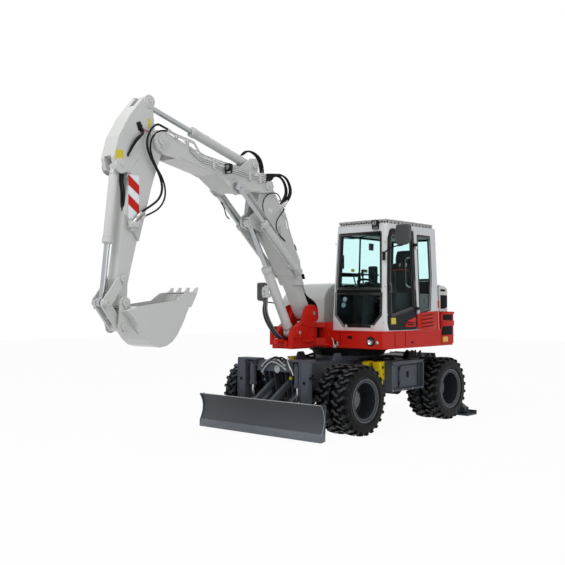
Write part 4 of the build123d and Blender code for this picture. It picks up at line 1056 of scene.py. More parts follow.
cab = {
    "floor": 1410.0,
    "height": 1555.0,
    "front": 531.0,
    "rear": -925.0,
    "left": 1080.0,
    "right": 65.0,
    "wall": 45.0,
    "leans": {"left": 55.0, "right": 55.0, "front": 75.0, "rear": 25.0},
    "seatY": 572.5,
}
wallViews = {
    # columns: along the wall, way out, place of its foot; each wall leans inwards
    "left": (xWay, yWay, yWay * cab["left"]),
    "right": (xWay, -yWay, yWay * cab["right"]),
    "front": (yWay, xWay, xWay * cab["front"]),
    "rear": (yWay, -xWay, xWay * cab["rear"]),
}
windows = {
    "front": [(160, 606), (960, 606), (935, 1430), (185, 1430)],
    "frontLow": [(150, 556), (150, 230), (310, 60), (820, 60), (975, 230), (975, 556)],
    "right": [(-760, 636), (380, 636), (345, 1430), (-730, 1430)],
    "rear": [(180, 756), (960, 756), (930, 1400), (210, 1400)],
    "rearSide": [(-640, 300), (-345, 260), (-345, 1420), (-690, 1420), (-700, 824)],
    "door": [(-187, 330), (400, 210), (405, 700), (365, 1290), (330, 1385), (300, 1400), (-187, 1400)],
    "doorEdge": [(-262, 22), (470, 22), (492, 120), (470, 700), (425, 1330), (385, 1445), (330, 1475), (-232, 1475)],
}


def wallFrame(side):
    across, out, foot = wallViews[side]
    lean, high = cab["leans"][side], cab["height"]
    slope = hypot(lean, high)
    up, normal = (zWay * high - out * lean) / slope, (out * high + zWay * lean) / slope
    return at(*(foot + zWay * cab["floor"])), across, up, normal


def onWall(side, u, v, out=0.0):
    # a place on a wall, in millimetres from the slewing axis
    origin, across, up, normal = wallFrame(side)
    place = (origin + (across * u + up * v + normal * out) / 1000) * 1000
    return place.x - machine["slewX"], place.y, place.z


def wallLine(side, *places):
    return [onWall(side, *place) for place in places]


def stud(side, u, v, low, high, *shape):
    # a rod standing on a wall, between two levels
    return rod(onWall(side, u, v, low), onWall(side, u, v, high), *shape)


def wallPlate(side, points, out, thick, edge=2.0, radius=0.0):
    origin, across, up, normal = wallFrame(side)
    drawn = softened(points, radius) if radius else points
    return thickened(outline(drawn, origin + normal * out / 1000, across, up), normal * thick, edge)


def grown(points, width):
    # an outline moved out by a width, with its corners mitred
    area = sum(a[0] * b[1] - b[0] * a[1] for a, b in zip(points, points[1:] + points[:1]))
    hand = 1 if area > 0 else -1
    full = []
    for index, point in enumerate(points):
        corner = Vector(point)
        before = (corner - Vector(points[index - 1])).normalized()
        after = (Vector(points[(index + 1) % len(points)]) - corner).normalized()
        first, second = Vector((before.y, -before.x)) * hand, Vector((after.y, -after.x)) * hand
        mitre = (first + second).normalized()
        place = corner + mitre * width / max(0.4, mitre.dot(first))
        full.append((place.x, place.y))
    return full


def wallRing(side, points, width, out, thick, edge=2.0, outwardly=False, radius=24.0):
    # a flat frame that follows an outline, inside it or outside it
    origin, across, up, normal = wallFrame(side)
    drawn = softened(grown(points, width) if outwardly else points, radius)
    piece = pick(outline(drawn, origin + normal * out / 1000, across, up))
    with editing():
        bpy.ops.mesh.inset(thickness=width / 1000)
        bpy.ops.mesh.delete(type="FACE")
    return thickened(piece, normal * thick, edge)


def makeGaskets():
    seals, trims, bands = [], [], []
    for name, side in (
        ("front", "front"), ("frontLow", "front"), ("right", "right"), ("rear", "rear"), ("rearSide", "left"),
    ):
        seals.append(wallRing(side, windows[name], 14, -1, 5, 2, True))
        bands.append(wallRing(side, windows[name], 30, -13, 3, 0.5))
        trims.append(wallRing(side, windows[name], 10, -cab["wall"] + 4, 30, 2))
    fitted("windowSeals", seals, "upper", sealRubber)
    fitted("windowBands", bands, "upper", glossBlack)
    fitted("windowTrims", trims, "upper", trimPlastic)
    fitted("doorSeal", wallRing("left", windows["doorEdge"], 12, -6, 8, 2, True), "upper", sealRubber)
    pane = windows["door"]
    doorBands = [wallRing("left", pane, 26, -13, 3, 0.5), wallRing("left", pane, 10, 0, 5, 2, True)]
    fitted("doorBands", doorBands, "door", glossBlack)
    middle = wallPlate("front", [(160, 560), (965, 560), (962, 604), (162, 604)], -1, 8, 3)
    fitted("frontBar", middle, "upper", sealRubber)
    bars = [
        wallPlate("right", box(-152, 640, -122, 1428), -16, 14, 3),
        wallPlate("right", [(-152, 812), (455, 800), (455, 840), (-152, 852)], -18, 16, 3),
    ]
    fitted("rightBar", bars, "upper", trimPlastic)
    lower = wallPlate("left", [(-630, 312), (-360, 275), (-360, 545), (-668, 545)], -20, 4, 1, 16)
    fitted("rearSidePanel", lower, "upper", insideGrey)
    fitted("panelLock", stud("left", -520, 450, -17, -8, 22, 3, 32), "upper", glossBlack)


def makeWiper():
    pieces = [
        hose(wallLine("front", (250, 1372, 8), (420, 1352, 9), (560, 1356, 9), (700, 1392, 8)), 6),
        hose(wallLine("front", (880, 1418, 14), (760, 1396, 22), (560, 1366, 18), (440, 1360, 14)), 8),
        stud("front", 880, 1418, -2, 26, 17, 4, 20), stud("front", 880, 1418, 0, 8, 26, 2, 24),
    ]
    fitted("wiper", pieces, "upper", trimPlastic)


def makeShellDetails():
    # bolts, corner gussets and the seams of the cab's pressed frame
    spots = ((105, 120), (1020, 120), (1025, 640), (1010, 1280), (110, 640), (120, 1290))
    places = [("front", *spot) for spot in spots]
    places += [("left", *spot) for spot in ((505, 240), (505, 760), (-845, 1330), (-860, 520))]
    fitted("cabScrews", [stud(*place, -1, 5, 11, 1.5, 20) for place in places], "upper", zinc)
    pieces = [
        wallPlate("front", [(u, 28), (u + 46, 28), (u + 40, 84), (u + 6, 84)], -2, 12, 3, 8) for u in (330, 800)
    ]
    pieces += [wallRing("front", windows[name], 22, -1, 4, 2, True) for name in ("frontLow", "front")]
    # roof's rain edge
    roof = [(-870, 92), (430, 92), (475, 150), (475, 990), (430, 1048), (-870, 1048), (-900, 1010), (-900, 130)]
    roof = [(x * 0.985 - 4, 570 + (y - 570) * 0.925) for x, y in roof]
    pieces.append(plate(softened(roof, 30), "plan", 2958, 18, 6, 3))
    fitted("cabPressings", pieces, "upper", armPaint)


def makeRedPanels():
    quarter = [(-830, -8), (-275, 8), (-262, 40), (-262, 238), (-420, 262), (-620, 274), (-838, 282)]
    panel = [
        wallPlate("left", quarter, 1, 12, 5, 10),
        wallPlate("left", [(-842, -6), (-812, -6), (-812, 282), (-842, 284)], 6, 12, 5),
    ]
    for low in (52, 110, 168):
        rib = [(-700, low + 26), (-360, low), (-345, low + 14), (-350, low + 28), (-700, low + 52)]
        panel.append(wallPlate("left", rib, 8, 14, 6, 8))
    fitted("quarterPanel", panel, "upper", redPaint)
    slots = [
        wallPlate("left", [(-704, low + 24), (-356, low), (-350, low + 10), (-704, low + 36)], 12, 3, 0)
        for low in (34, 88, 146, 204)
    ]
    fitted("quarterSlots", slots, "upper", sealRubber)
    swoosh = wallPlate("left", [(62, 55), (58, 95), (-20, 150), (-195, 196), (-210, 190), (-196, 52)], 1, 10, 4, 8)
    fitted("doorPanel", swoosh, "door", redPaint)
    marks = [
        wallPlate("left", [(30, low + 6), (-170, low), (-176, low + 14), (10, low + 24)], 10, 3, 0)
        for low in (72, 104)
    ]
    fitted("doorPanelSlots", marks, "door", sealRubber)
    fitted("doorSign", wallPlate("left", box(300, 100, 420, 190), 0.5, 2, 0.4, 6), "door", signYellow)
    small = [wallPlate("right", box(u, v, u + 84, v + 46), -24, 2, 0.3, 4) for u, v in ((10, 885), (-300, 890))]
    fitted("windowSigns", small, "upper", signYellow)
    notes = [
        wallPlate("right", box(*corners), -24, 2, 0.3, 4)
        for corners in ((-330, 885, -250, 930), (-480, 1240, -350, 1350))
    ]
    fitted("windowNotes", notes, "upper", insideGrey)
    fitted("cabReflector", wallPlate("left", box(-905, 330, -860, 440), 1, 4, 1, 4), "upper", redPaint)


def makeDoorFittings():
    rails = [
        pipe(wallLine("left", (-225, 1085, -48), (-215, 1085, -92), (-140, 1050, -104), (-140, 690, -104),
                      (-215, 640, -92), (-225, 640, -48)), 11, 40),
        pipe(wallLine("left", (-235, 340, -48), (-225, 335, -88), (-160, 300, -96), (-160, 205, -96),
                      (-170, 190, -48)), 10, 34),
    ]
    fitted("doorRails", rails, "door", whitePlate)
    pieces = [
        wallPlate("left", box(395, 560, 455, 700), -1, 12, 4, 10),
        wallPlate("left", box(-245, 600, -200, 740), -1, 10, 4, 8),
        stud("left", 425, 660, 8, 24, 13, 3, 20),
        wallPlate("left", box(412, 575, 438, 650), 16, 14, 5, 8),
    ]
    fitted("doorHandle", pieces, "door", glossBlack)
    fitted("doorLock", stud("left", 425, 660, 22, 27, 8, 1, 16), "door", chrome)


def mirrorHead(centre, width, high, deep):
    # a rounded housing, full at the back and flat at the glass, which faces the rear
    x, y, z = centre
    right, top = width / 2, high / 2
    points = softened(
        [(-right, 30 - top), (26 - right, -top), (right - 60, -top), (right, 60 - top), (right, top), (-right, top)],
        36, 6,
    )

    def layer(share, *build):
        return plate([(y + a * share, z + b * share) for a, b in points], "front", *build)

    return layer(1, x + deep / 2 - 6, deep, 22, 5), layer(0.96, x - 10, 12, 4, 2), layer(0.88, x - 17, 4, 1, 1)


def makeMirrors():
    left = mirrorHead((576, 1404, 2764), 228, 290, 60)
    right = mirrorHead((466, -1400, 2000), 190, 300, 52)
    stalks = [
        pipe([(512, 1010, 2530), (540, 1030, 2530), (560, 1090, 2545), (568, 1150, 2588), (572, 1260, 2612),
              (580, 1385, 2618), (584, 1385, 2700)], 10, 34),
        pipe([(320, -1062, 1800), (320, -1110, 1800), (470, -1390, 1840), (474, -1392, 1870),
              (476, -1392, 1930)], 10, 40),
        rod((574, 1385, 2640), (574, 1385, 2700), 17, 3, 20), rod((470, -1392, 1880), (470, -1392, 1930), 17, 3, 20),
        block((508, 1000, 2420), (532, 1046, 2545), 6, 3), block((300, -1078, 1772), (340, -1058, 1828), 5, 3),
        rod((526, 1022, 2530), (548, 1030, 2530), 18, 4, 20), rod((526, 1022, 2440), (540, 1022, 2440), 10, 2, 6),
    ]
    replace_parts(fitted("mirrorHousings", [*left[:2], *right[:2]], "upper", mirrorPlastic), "mirrors")
    fitted("mirrorStalks", stalks, "upper", trimPlastic)
    fitted("mirrorGlasses", [left[2], right[2]], "upper", chrome)
    bracket = plate([(1005, 2470), (1050, 2470), (1046, 2560), (1000, 2560)], "front", 505, 10, 3)
    fitted("mirrorBracket", bracket, "upper", armPaint)


def workLight(name, body, centre, size):
    # a square lamp: housing with cooling ribs, bezel and glass
    x, y, z = centre
    half = size / 2

    def part(a, b, low, c, d, high, *build):
        return block((x + a, y + b, z + low), (x + c, y + d, z + high), *build)

    housing = [part(-34, -half, -half, 22, half, half, 12, 3)]
    housing.append(part(20, -half - 3, -half - 3, 30, half + 3, half + 3, 6))
    housing += [part(-46, 8 - half, k, -30, half - 8, k + 5, 1) for k in (-24, -8, 8, 24)]
    housing += [
        part(-14, -half - 8, -half - 34, 14, -half - 3, 8, 1.5),
        part(-14, half + 3, -half - 34, 14, half + 8, 8, 1.5),
        part(-14, -half - 8, -half - 38, 14, half + 8, -half - 32, 1.5),
    ]
    fitted(name, housing, body, trimPlastic)
    fitted(name + "Glass", part(29, 7 - half, 7 - half, 33, half - 7, half - 7, 2), body, lampGlass)
    fitted(name + "Mirror", rod((x + 26, y, z), (x + 31, y, z), size * 0.36, 1, 24), body, chrome)


def makeRoofGuard():
    # mesh over the roof between the guard's rails, with pressed edges
    top = cab["floor"] + cab["height"]
    slats = [plate(box(175, top + 37, 975, top + 46), "front", -760 + k * 62, 20, 1, 1) for k in range(19)]
    for y in (260, 345, 430, 590, 675, 760, 890):
        slats.append(block((-795, y - 8, top + 35), (390, y + 8, top + 42), 1, 1))
    edges = []
    for index in range(19):
        # pressed teeth along the guard's front, of two heights
        y, out, high = 158 + index * 46, (index % 2) * 10, (64, 40, 72, 34)[index % 4]
        for low, shift in ((top - 66, 0), (top - 14, 11)):
            tooth = [(-15, 0), (13, 5), (9, 34), (-12, 30)]
            edges.append(plate([(y + a + shift, low + b) for a, b in tooth], "front", 420 + out, 14, 5, 1))
        tooth = [(-17, 24), (15, 24), (11, high), (-9, high - 7)]
        edges.append(plate([(y + a, top + b) for a, b in tooth], "front", 424 - out, 14, 5, 1))
    for index in range(26):
        x, out, high = -795 + index * 47, (index % 2) * 8, (62, 38, 68, 44)[index % 4]
        tooth = [(-17, 4), (13, 8), (9, high), (-12, high - 8)]
        edges.append(plate([(x + a, top + b) for a, b in tooth], "side", 1002 + out, 12, 4, 1))
    rails = (
        ((426, 140, 52), (442, 570, 58), (426, 1000, 52), 8),
        ((426, 140, -56), (442, 570, -56), (426, 1000, -56), 8),
        ((-810, 1010, 50), (-200, 1014, 56), (420, 1008, 50), 7),
        ((-800, 150, 46), (-200, 146, 50), (405, 150, 46), 13),
        ((-816, 150, 46), (-816, 570, 46), (-816, 1000, 46), 13),
    )
    rims = [hose([(x, y, top + z) for x, y, z in rail[:3]], rail[3], 3) for rail in rails]
    backing = [block((398, 150, top - 60), (412, 990, top + 34)), block((-800, 986, top + 4), (405, 996, top + 34))]
    fitted("roofGuardBack", backing, "upper", castBlack)
    workLight("roofLight", "upper", (480, 850, top - 2), 88)
    fitted("roofMesh", slats, "upper", guardGrey)
    fitted("roofGuardEdges", edges + rims, "upper", guardPale)


def makeInside():
    inside, y = [], cab["seatY"]
    # pillars' trims, ceiling and floor mat
    for x, ys in ((415, (120, 1015)), (-830, (130, 1005))):
        for yy in ys:
            lean = -44 if yy > 500 else 44
            inside.append(hose([(x, yy, 1470), (x - 8, yy + lean * 0.5, 2100), (x - 40, yy + lean, 2880)], 30, 2))
    inside += [
        block((-800, 200, 2868), (-270, 945, 2886), 6), block((340, 190, 2868), (400, 950, 2886), 6),
        block((-860, 130, 1452), (470, 1020, 1462)),
        # right console, its lever, screen and rail
        block((-470, 165, 1700), (70, 335, 2075), 24, 3), block((-440, 180, 2070), (40, 322, 2120), 18, 3),
        hose([(-40, 250, 2110), (-36, 250, 2190), (-20, 252, 2240)], 12, 3),
        rod((-22, 252, 2225), (-12, 254, 2330), 24, 8, 20, 19), block((-330, 170, 2118), (-180, 300, 2148), 12, 3),
        hose([(60, 190, 2080), (90, 176, 2160), (100, 172, 2230)], 10, 3),
        block((335, 118, 2330), (368, 176, 2540), 10, 3), block((-640, 112, 2250), (420, 126, 2276)),
        block((-330, 190, 2140), (-240, 330, 2390), 26, 4),
    ]
    for side, points in (
        ("right", [(-850, 45), (455, 45), (425, 612), (-845, 612)]),
        ("rear", [(120, 45), (1020, 45), (1005, 735), (140, 735)]),
        ("left", [(-845, 45), (-300, 45), (-300, 250), (-690, 282), (-845, 500)]),
        ("front", [(112, 45), (290, 45), (138, 225), (112, 560)]),
        ("front", [(1030, 45), (850, 45), (1000, 225), (1030, 560)]),
    ):
        inside.append(wallPlate(side, points, -cab["wall"] - 14, 12, 3, 10))
    fitted("cabLining", inside, "upper", insidePlastic)
    pedals = []
    for yy in (-90, 90):
        pedals += [
            plate([(330, 1490), (420, 1640), (410, 1648), (318, 1498)], "side", y + yy, 90, 3),
            rod((380, y + yy, 1470), (400, y + yy, 1900), 9, 2, 16),
            rod((400, y + yy, 1900), (380, y + yy + 20, 1930), 16, 6, 20),
        ]
    grip = [(2120, 0), (2120, 14), (2150, 22), (2190, 25), (2230, 22), (2262, 27), (2278, 22), (2284, 0)]
    boot = [(1958, 62), (1975, 58), (2000, 34), (2022, 30), (2036, 16), (2040, 0), (1958, 0)]
    for yy in (250, 890):
        pedals += [turned(grip, (60, yy, 0), "Z", 24), turned(boot, (60, yy, 0), "Z", 32)]
    steering = [
        ring((255, y, 2092), 172, 15, (-0.45, 0, 1), 64, 12), rod((252, y, 2070), (238, y, 2108), 52, 8, 32),
        rod((268, y - 40, 2050), (300, y - 190, 2070), 7, 2, 12),
    ]
    fitted("controls", pedals + steering, "upper", trimPlastic)
    screen = [plate(softened(box(150, 1965, 330, 2090), 14), "front", 300, 34, 6, 3),
              rod((300, 175, 1930), (300, 215, 1985), 12, 2, 16)]
    fitted("screenCase", screen, "upper", trimPlastic)
    panel = plate(box(168, 1982, 312, 2073), "front", 281, 4, 1)
    fitted("screenGlass", panel, "upper", glossBlack)
    note = plate(box(-250, 300, -140, 400), "plan", 1964, 3, 0.5)
    fitted("consoleNote", note, "upper", whitePlate)
    knobs = []
    for row in (0, 1):
        for x in (-420, -330, -240, -150):
            knobs.append(rod((x, 195 + row * 55, 1958), (x, 195 + row * 55, 1975), 15, 3, 20))
            knobs.append(block((x - 18, 870 + row * 45, 1958), (x + 18, 892 + row * 45, 1968), 2))
    fitted("consoleKnobs", knobs, "upper", insideGrey)
    # two round parts low behind the front window
    rings = []
    for yy, z in ((278, 1871), (253, 1784)):
        rings += [ring((458, yy, z), 30, 8, (1, 0, 0.05), 40, 10), rod((450, yy, z), (462, yy, z), 16, 2, 24)]
    fitted("frontRings", rings, "upper", paleLining)


def cushion(low, high, crown, edge, cuts, pull=0.0):
    # a stuffed block: subdivided, crowned in the middle and drawn in along its sewn lines
    piece = block(low, high, 0)
    pick(piece)
    with editing():
        bpy.ops.mesh.subdivide(number_cuts=15)
    a, b = at(*low), at(*high)
    middle, half = (a + b) / 2, (b - a) / 2
    for vertex in piece.data.vertices:
        u, v, w = (value / reach for value, reach in zip(vertex.co - middle, half))
        swell = (1 - min(1, abs(u)) ** 3) * (1 - min(1, abs(v)) ** 3)
        if w > 0:
            vertex.co.z += crown / 1000 * swell * w
        vertex.co.y += edge / 1000 * v * (1 - u * u) * (1 - w * w)
        vertex.co.x += edge / 1000 * u * (1 - v * v) * (1 - w * w)
        corner = max(0.0, abs(u) + abs(v) + abs(w) - 2.2)
        vertex.co -= Vector((u, v, w)) * corner * 0.028
        for place in cuts:
            near = abs(v * half.y * 1000 - place)
            if near < 16 and w > 0.2:
                vertex.co.z -= 0.009 * (1 - near / 16)
        if pull and w > 0.2:
            vertex.co.z -= pull / 1000 * max(0.0, 1 - abs(u) * 1.4) * (abs(v) < 0.6) * 0.5
    applied(piece, "SUBSURF", levels=1)
    return smooth(piece, 70)


def stood(piece, pivot, place, degrees):
    # from lying flat to standing up behind the seat
    turn = Matrix.Rotation(radians(degrees), 4, "Y")
    piece.data.transform(Matrix.Translation(at(*place)) @ turn @ Matrix.Translation(-at(*pivot)))
    return piece


def makeSeat():
    y = cab["seatY"]
    base = [
        block((-600, y - 165, 1452), (-190, y + 165, 1500), 10, 3),
        block((-590, y - 170, 1740), (-170, y + 170, 1795), 12, 3),
        block((-700, y - 195, 1880), (-640, y + 195, 2320), 16, 3),
    ]
    for index in range(8):
        # bellows
        z, dent = 1500 + index * 30, index % 2
        low, high = (-585 + dent * 12, y - 158 + dent * 10, z), (-185 - dent * 12, y + 158 - dent * 10, z + 30)
        base.append(block(low, high, 9))
    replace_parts(fitted("seatBase", base, "upper", insidePlastic), "seat")
    seat = cushion((-590, y - 225, 1796), (-140, y + 225, 1900), 22, 6, (-150, 150), 8)
    back = cushion((-340, y - 215, 1600), (240, y + 215, 1690), 22, 6, (-140, 140))
    stood(back, (-340, 0, 1600), (-560, 0, 1880), -100)
    head = cushion((-120, y - 165, 1600), (120, y + 165, 1680), 16, 5, ())
    stood(head, (-120, 0, 1600), (-672, 0, 2402), -98)
    for name, piece, fill in (("seatCushion", seat, 0.7), ("seatBack", back, 0.7), ("seatHeadrest", head, 0.75)):
        fitted(name, piece, "upper", seatCloth)
    posts = [rod((-655, y + s, 2380), (-660, y + s, 2440), 8, 1, 12) for s in (-60, 60)]
    fitted("headrestPosts", posts, "upper", zinc)
    piping = hose([(-576, y - 150, 2330), (-556, y, 2340), (-576, y + 150, 2330)], 5)
    fitted("seatPiping", piping, "upper", redPaint)


guardPale = paint("guardPale", (0.55, 0.55, 0.53), rough=0.45, coat=0.1, dust=0.5, edge=0.006)
glossBlack = paint("glossBlack", (0.008, 0.009, 0.010), rough=0.10, coat=0.5, dust=0.0, edge=0.001)
insideGrey = plastic("insideGrey", (0.075, 0.082, 0.088), 0.45)
seatCloth = rubber("seatCloth", (0.014, 0.014, 0.016), 0.85, 0.05)
makeGaskets()
makeWiper()
makeShellDetails()
makeRedPanels()
makeDoorFittings()
makeMirrors()
makeRoofGuard()
makeInside()
makeSeat()
print("cab ready")

def tailPoints(radius, half, front, steps=28):
    # the round rear end in plan, cut off at both sides and in front
    wide = atan2(half, (radius * radius - half * half) ** 0.5)
    points = [(front, -half)]
    for index in range(steps + 1):
        turn = pi + wide - 2 * wide * index / steps
        points.append((radius * cos(turn), radius * sin(turn)))
    points.append((front, half))
    return points


def crowned(piece, floorLevel, topLevel, falls):
    # a hood's top, lowered towards its sides and its ends; falls: (direction, start, end, drop)
    for vertex in piece.data.vertices:
        x, y, z = vertex.co.x * 1000 - machine["slewX"], vertex.co.y * 1000, vertex.co.z * 1000
        share = max(0.0, (z - floorLevel) / (topLevel - floorLevel))
        drop = 0.0
        for direction, start, end, depth in falls:
            reach = x if direction == "x" else y
            t = min(1.0, max(0.0, (reach - start) / (end - start)))
            drop += depth * (1 - (1 - t * t) ** 0.5)
        vertex.co.z -= drop * share * share / 1000
    return piece


def gridded(piece, cuts):
    # cut across into bands, so that its top can be bent
    pick(piece)
    for axis, places in cuts:
        for place in places:
            with editing():
                bpy.ops.mesh.bisect(plane_co=at(*(axis * place)), plane_no=axis)
    return piece


def makeHoods():
    points = tailPoints(1578, 1052, -952)
    rear = thickened(outline(points, at(0, 0, 1682), xWay, yWay), zWay * 418, 0)
    gridded(rear, ((xWay, range(-1540, -960, 60)), (yWay, range(-1000, 1001, 100))))
    crowned(rear, 1682, 2100, (("y", 780, 1060, 95), ("y", -780, -1060, 95), ("x", -1280, -1600, 120)))
    smooth(rounded(rear, 34, 4, 40), 50)
    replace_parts(fitted("rearHood", rear, "hood", armPaint), "engine_hood")
    side = block((-925, -1060, 1411), (420, -160, 2125), 0)
    gridded(side, ((xWay, range(-200, 420, 60)), (yWay, range(-1040, -160, 80))))
    crowned(side, 1411, 2125, (("y", -760, -1070, 130), ("x", 20, 430, 330)))
    smooth(rounded(side, 46, 4, 50), 50)
    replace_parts(fitted("sideHood", side, "upper", armPaint), "side_hood")
    # edge over the wall behind the cab
    edge = bothSides(block((-956, 1036, 1690), (-920, 1062, 2092), 8, 3)) + [
        block((-956, -1062, 2070), (-920, 1062, 2096), 8, 3), block((-952, -1050, 1683), (-944, 1050, 2075), 2),
        block((-930, 120, 1415), (-926, 1046, 2086), 1, 1),
    ]
    fitted("hoodEdge", edge, "upper", armPaint)
    shape = [(-962, 1726), (-1085, 1726), (-1168, 1752), (-1168, 1936), (-962, 1940)]
    vents = bothSides(
        plate(softened(shape, 14), "side", 1050, 12, 3),
        plate(softened([(-966, 1996), (-1120, 1996), (-1106, 2030), (-966, 2034)], 8), "side", 1050, 8),
    )
    fitted("hoodVents", vents, "hood", sealRubber)
    fins = [block((-1160, 1050, z), (-970, 1060, z + 8), 2) for z in range(1760, 1905, 24)]
    fitted("hoodFins", bothSides(*fins), "hood", trimPlastic)
    seam = hose([(-950, 700, 2101), (-1300, 700, 2100), (-1500, 640, 2070)], 4, 1)
    fitted("hoodSeams", bothSides(seam), "hood", sealRubber)
    latch = [block((-1590, -60, 1790), (-1560, 60, 1850), 8, 3), rod((-1592, 30, 1820), (-1600, 30, 1820), 12, 2, 20)]
    fitted("hoodLatch", latch, "hood", glossBlack)
    # side hood's grille, seam and handle, on the machine's right
    grille = [block((-820, -1068, z), (-360, -1058, z + 14)) for z in range(1560, 1865, 38)]
    fitted("sideHoodGrille", grille, "upper", glossBlack)
    fitted("sideHoodHandle", block((40, -1074, 1700), (160, -1060, 1736), 8, 3), "upper", trimPlastic)
    line = hose([(-60, -1062, 1415), (-60, -1062, 1990), (-58, -1000, 2085), (-56, -400, 2128)], 4, 1)
    fitted("sideHoodSeam", line, "upper", sealRubber)


def makeTail():
    # grilles, ridges and lamps on the counterweight's sides
    dark, fins = [], []
    side = machine["deckSide"]
    for low, high, start in ((1548, 1634, -988), (1320, 1452, -970)):
        dark.append(plate(softened([(start, low), (-1272, low), (-1272, high), (start, high)], 10), "side", side, 6))
        for z in range(low + 8, low + 8 + (high - low) // 20 * 20, 20):
            fins.append(block((start - 6, side, z), (-1266, side + 7, z + 7), 2))
        for x in range(start - 22, start - 274, -28):
            fins.append(block((x, side, low + 4), (x - 5, side + 5, high - 4), 1, 1))
    fitted("tailGrilles", bothSides(*dark), "upper", sealRubber)
    fitted("tailFins", bothSides(*fins), "upper", trimPlastic)
    lamp = plate(softened([(-975, 1212), (-1128, 1212), (-1128, 1292), (-975, 1292)], 10), "side", side + 4, 12, 4)
    fitted("tailLamps", bothSides(lamp), "upper", amber)
    ridges = [tailBand(*row) for row in ((1640, 1678, 16), (1462, 1538, 14), (1304, 1314, 8))]
    fitted("tailRidges", bothSides(*ridges), "upper", redPaint)
    seam = [hose([(-958, 1083, 1160), (-958, 1083, 1300), (-956, 1082, 1406)], 4, 1),
            hose([(-958, -1083, 1160), (-958, -1083, 1300), (-958, -1083, 1670)], 4, 1)]
    fitted("tailSeams", seam, "upper", sealRubber)
    rear = [block((-1708, y, 1300), (-1640, y + 120, 1360), 8, 3) for y in (-560, 440)]
    fitted("rearReflectors", rear, "upper", amber)
    grille = [block((-1712, -260 + k * 66, 1470), (-1690, -228 + k * 66, 1600), 6, 3) for k in range(8)]
    fitted("rearSlots", grille, "upper", sealRubber)


def tailBand(low, high, out):
    # a raised band along the flat side and round the corner onto the tail
    radius, half = machine["tailRadius"], machine["deckSide"]
    wide = atan2(half, (radius * radius - half * half) ** 0.5)
    turns = [pi - wide + index * 0.05 for index in range(7)]
    line = [(-962, half), (-1290, half)] + [(radius * cos(turn), radius * sin(turn)) for turn in turns]
    reach = radius + out
    outer = [(-962, half + out), (-1296, half + out)] + [(reach * cos(turn), reach * sin(turn)) for turn in turns]
    return plate(line + outer[::-1], "plan", (low + high) / 2, high - low, 5)


def makeBelt():
    # rounded upper and lower edges, joints and fittings along the red deck
    pieces = bothSides(*[block((-940, 1074, z), (636, 1086, z + 26), 5, 3) for z in (1386, 1158)])
    pieces += [block((632, 130, z), (646, 1076, z + 26), 5, 3) for z in (1384, 1160)]
    corner = hose([(636, 1070, 1190), (640, 1074, 1290), (636, 1070, 1384)], 14, 3)
    fitted("beltEdges", pieces + [corner], "upper", redPaint)
    seams = [
        hose([(643, 330, 1186), (643, 330, 1384)], 4, 1), hose([(330, 1082, 1184), (330, 1082, 1386)], 3, 1),
        hose([(60, 1082, 1184), (60, 1082, 1386)], 3, 1),
    ]
    fitted("beltSeams", seams, "upper", sealRubber)
    hole = [block((636, 462, 1292), (642, 544, 1338), 6, 2), block((636, 205, 1212), (642, 250, 1262), 6, 2)]
    slot = plate(softened(box(-160, 1222, -85, 1246), 11), "side", 1081, 4, 1)
    fitted("beltHoles", hole + [slot], "upper", sealRubber)
    # head lamp, sunk in its round opening, and the plug beside it
    bezel = turned(
        [(636, 72), (644, 72), (650, 66), (650, 58), (640, 52), (636, 52)], (0, 877, 1266), "X", 48,
    )
    well = turned(box(637, 60, 641, 0), (0, 877, 1266), "X", 40)
    fitted("lampBezel", [bezel], "upper", trimPlastic)
    fitted("lampWell", well, "upper", sealRubber)
    reflector = turned(
        [(641, 0), (641, 30), (650, 44), (656, 50), (660, 50), (654, 40), (646, 26), (643, 0)],
        (0, 884, 1268), "X", 40,
    )
    fitted("lampReflector", reflector, "upper", chrome)
    bulb = turned([(644, 0), (644, 10), (660, 12), (668, 8), (670, 0)], (0, 884, 1268), "X", 24)
    fitted("lampBulb", bulb, "upper", lampGlass)
    plug = turned([(640, 26), (646, 26), (650, 20), (650, 9), (645, 9), (645, 0), (640, 0)], (0, 988, 1247), "X", 32)
    fitted("beltPlug", plug, "upper", zinc)
    hook = [
        pipe([(650, 186, 1286), (672, 190, 1300), (676, 214, 1284), (664, 222, 1240), (676, 236, 1200),
              (664, 250, 1168)], 8, 16),
        rod((640, 237, 1170), (668, 237, 1170), 12, 2, 16),
        block((636, 212, 1150), (668, 262, 1200), 6, 2), block((640, 262, 1180), (664, 300, 1246), 6, 3),
    ]
    fitted("beltHook", hook, "upper", zinc)


def makeSkirt():
    # dark rubber and steel under the deck, round the slew ring
    pieces = [
        turned([(1096, 560), (1150, 560), (1150, 600), (1104, 612), (1096, 600)], (0, 0, 0), "Z", 72),
        turned([(1030, 470), (1100, 470), (1100, 580), (1030, 540)], (0, 0, 0), "Z", 72),
    ]
    fitted("slewSkirt", pieces, "upper", castBlack)
    turns = [2 * pi * index / 28 for index in range(28)]
    heads = bolts([(545 * cos(turn), 545 * sin(turn), 1062) for turn in turns], zWay, 11)
    fitted("ringBolts", heads, "chassis", zinc)  # they hold the ring to the chassis, and don't slew


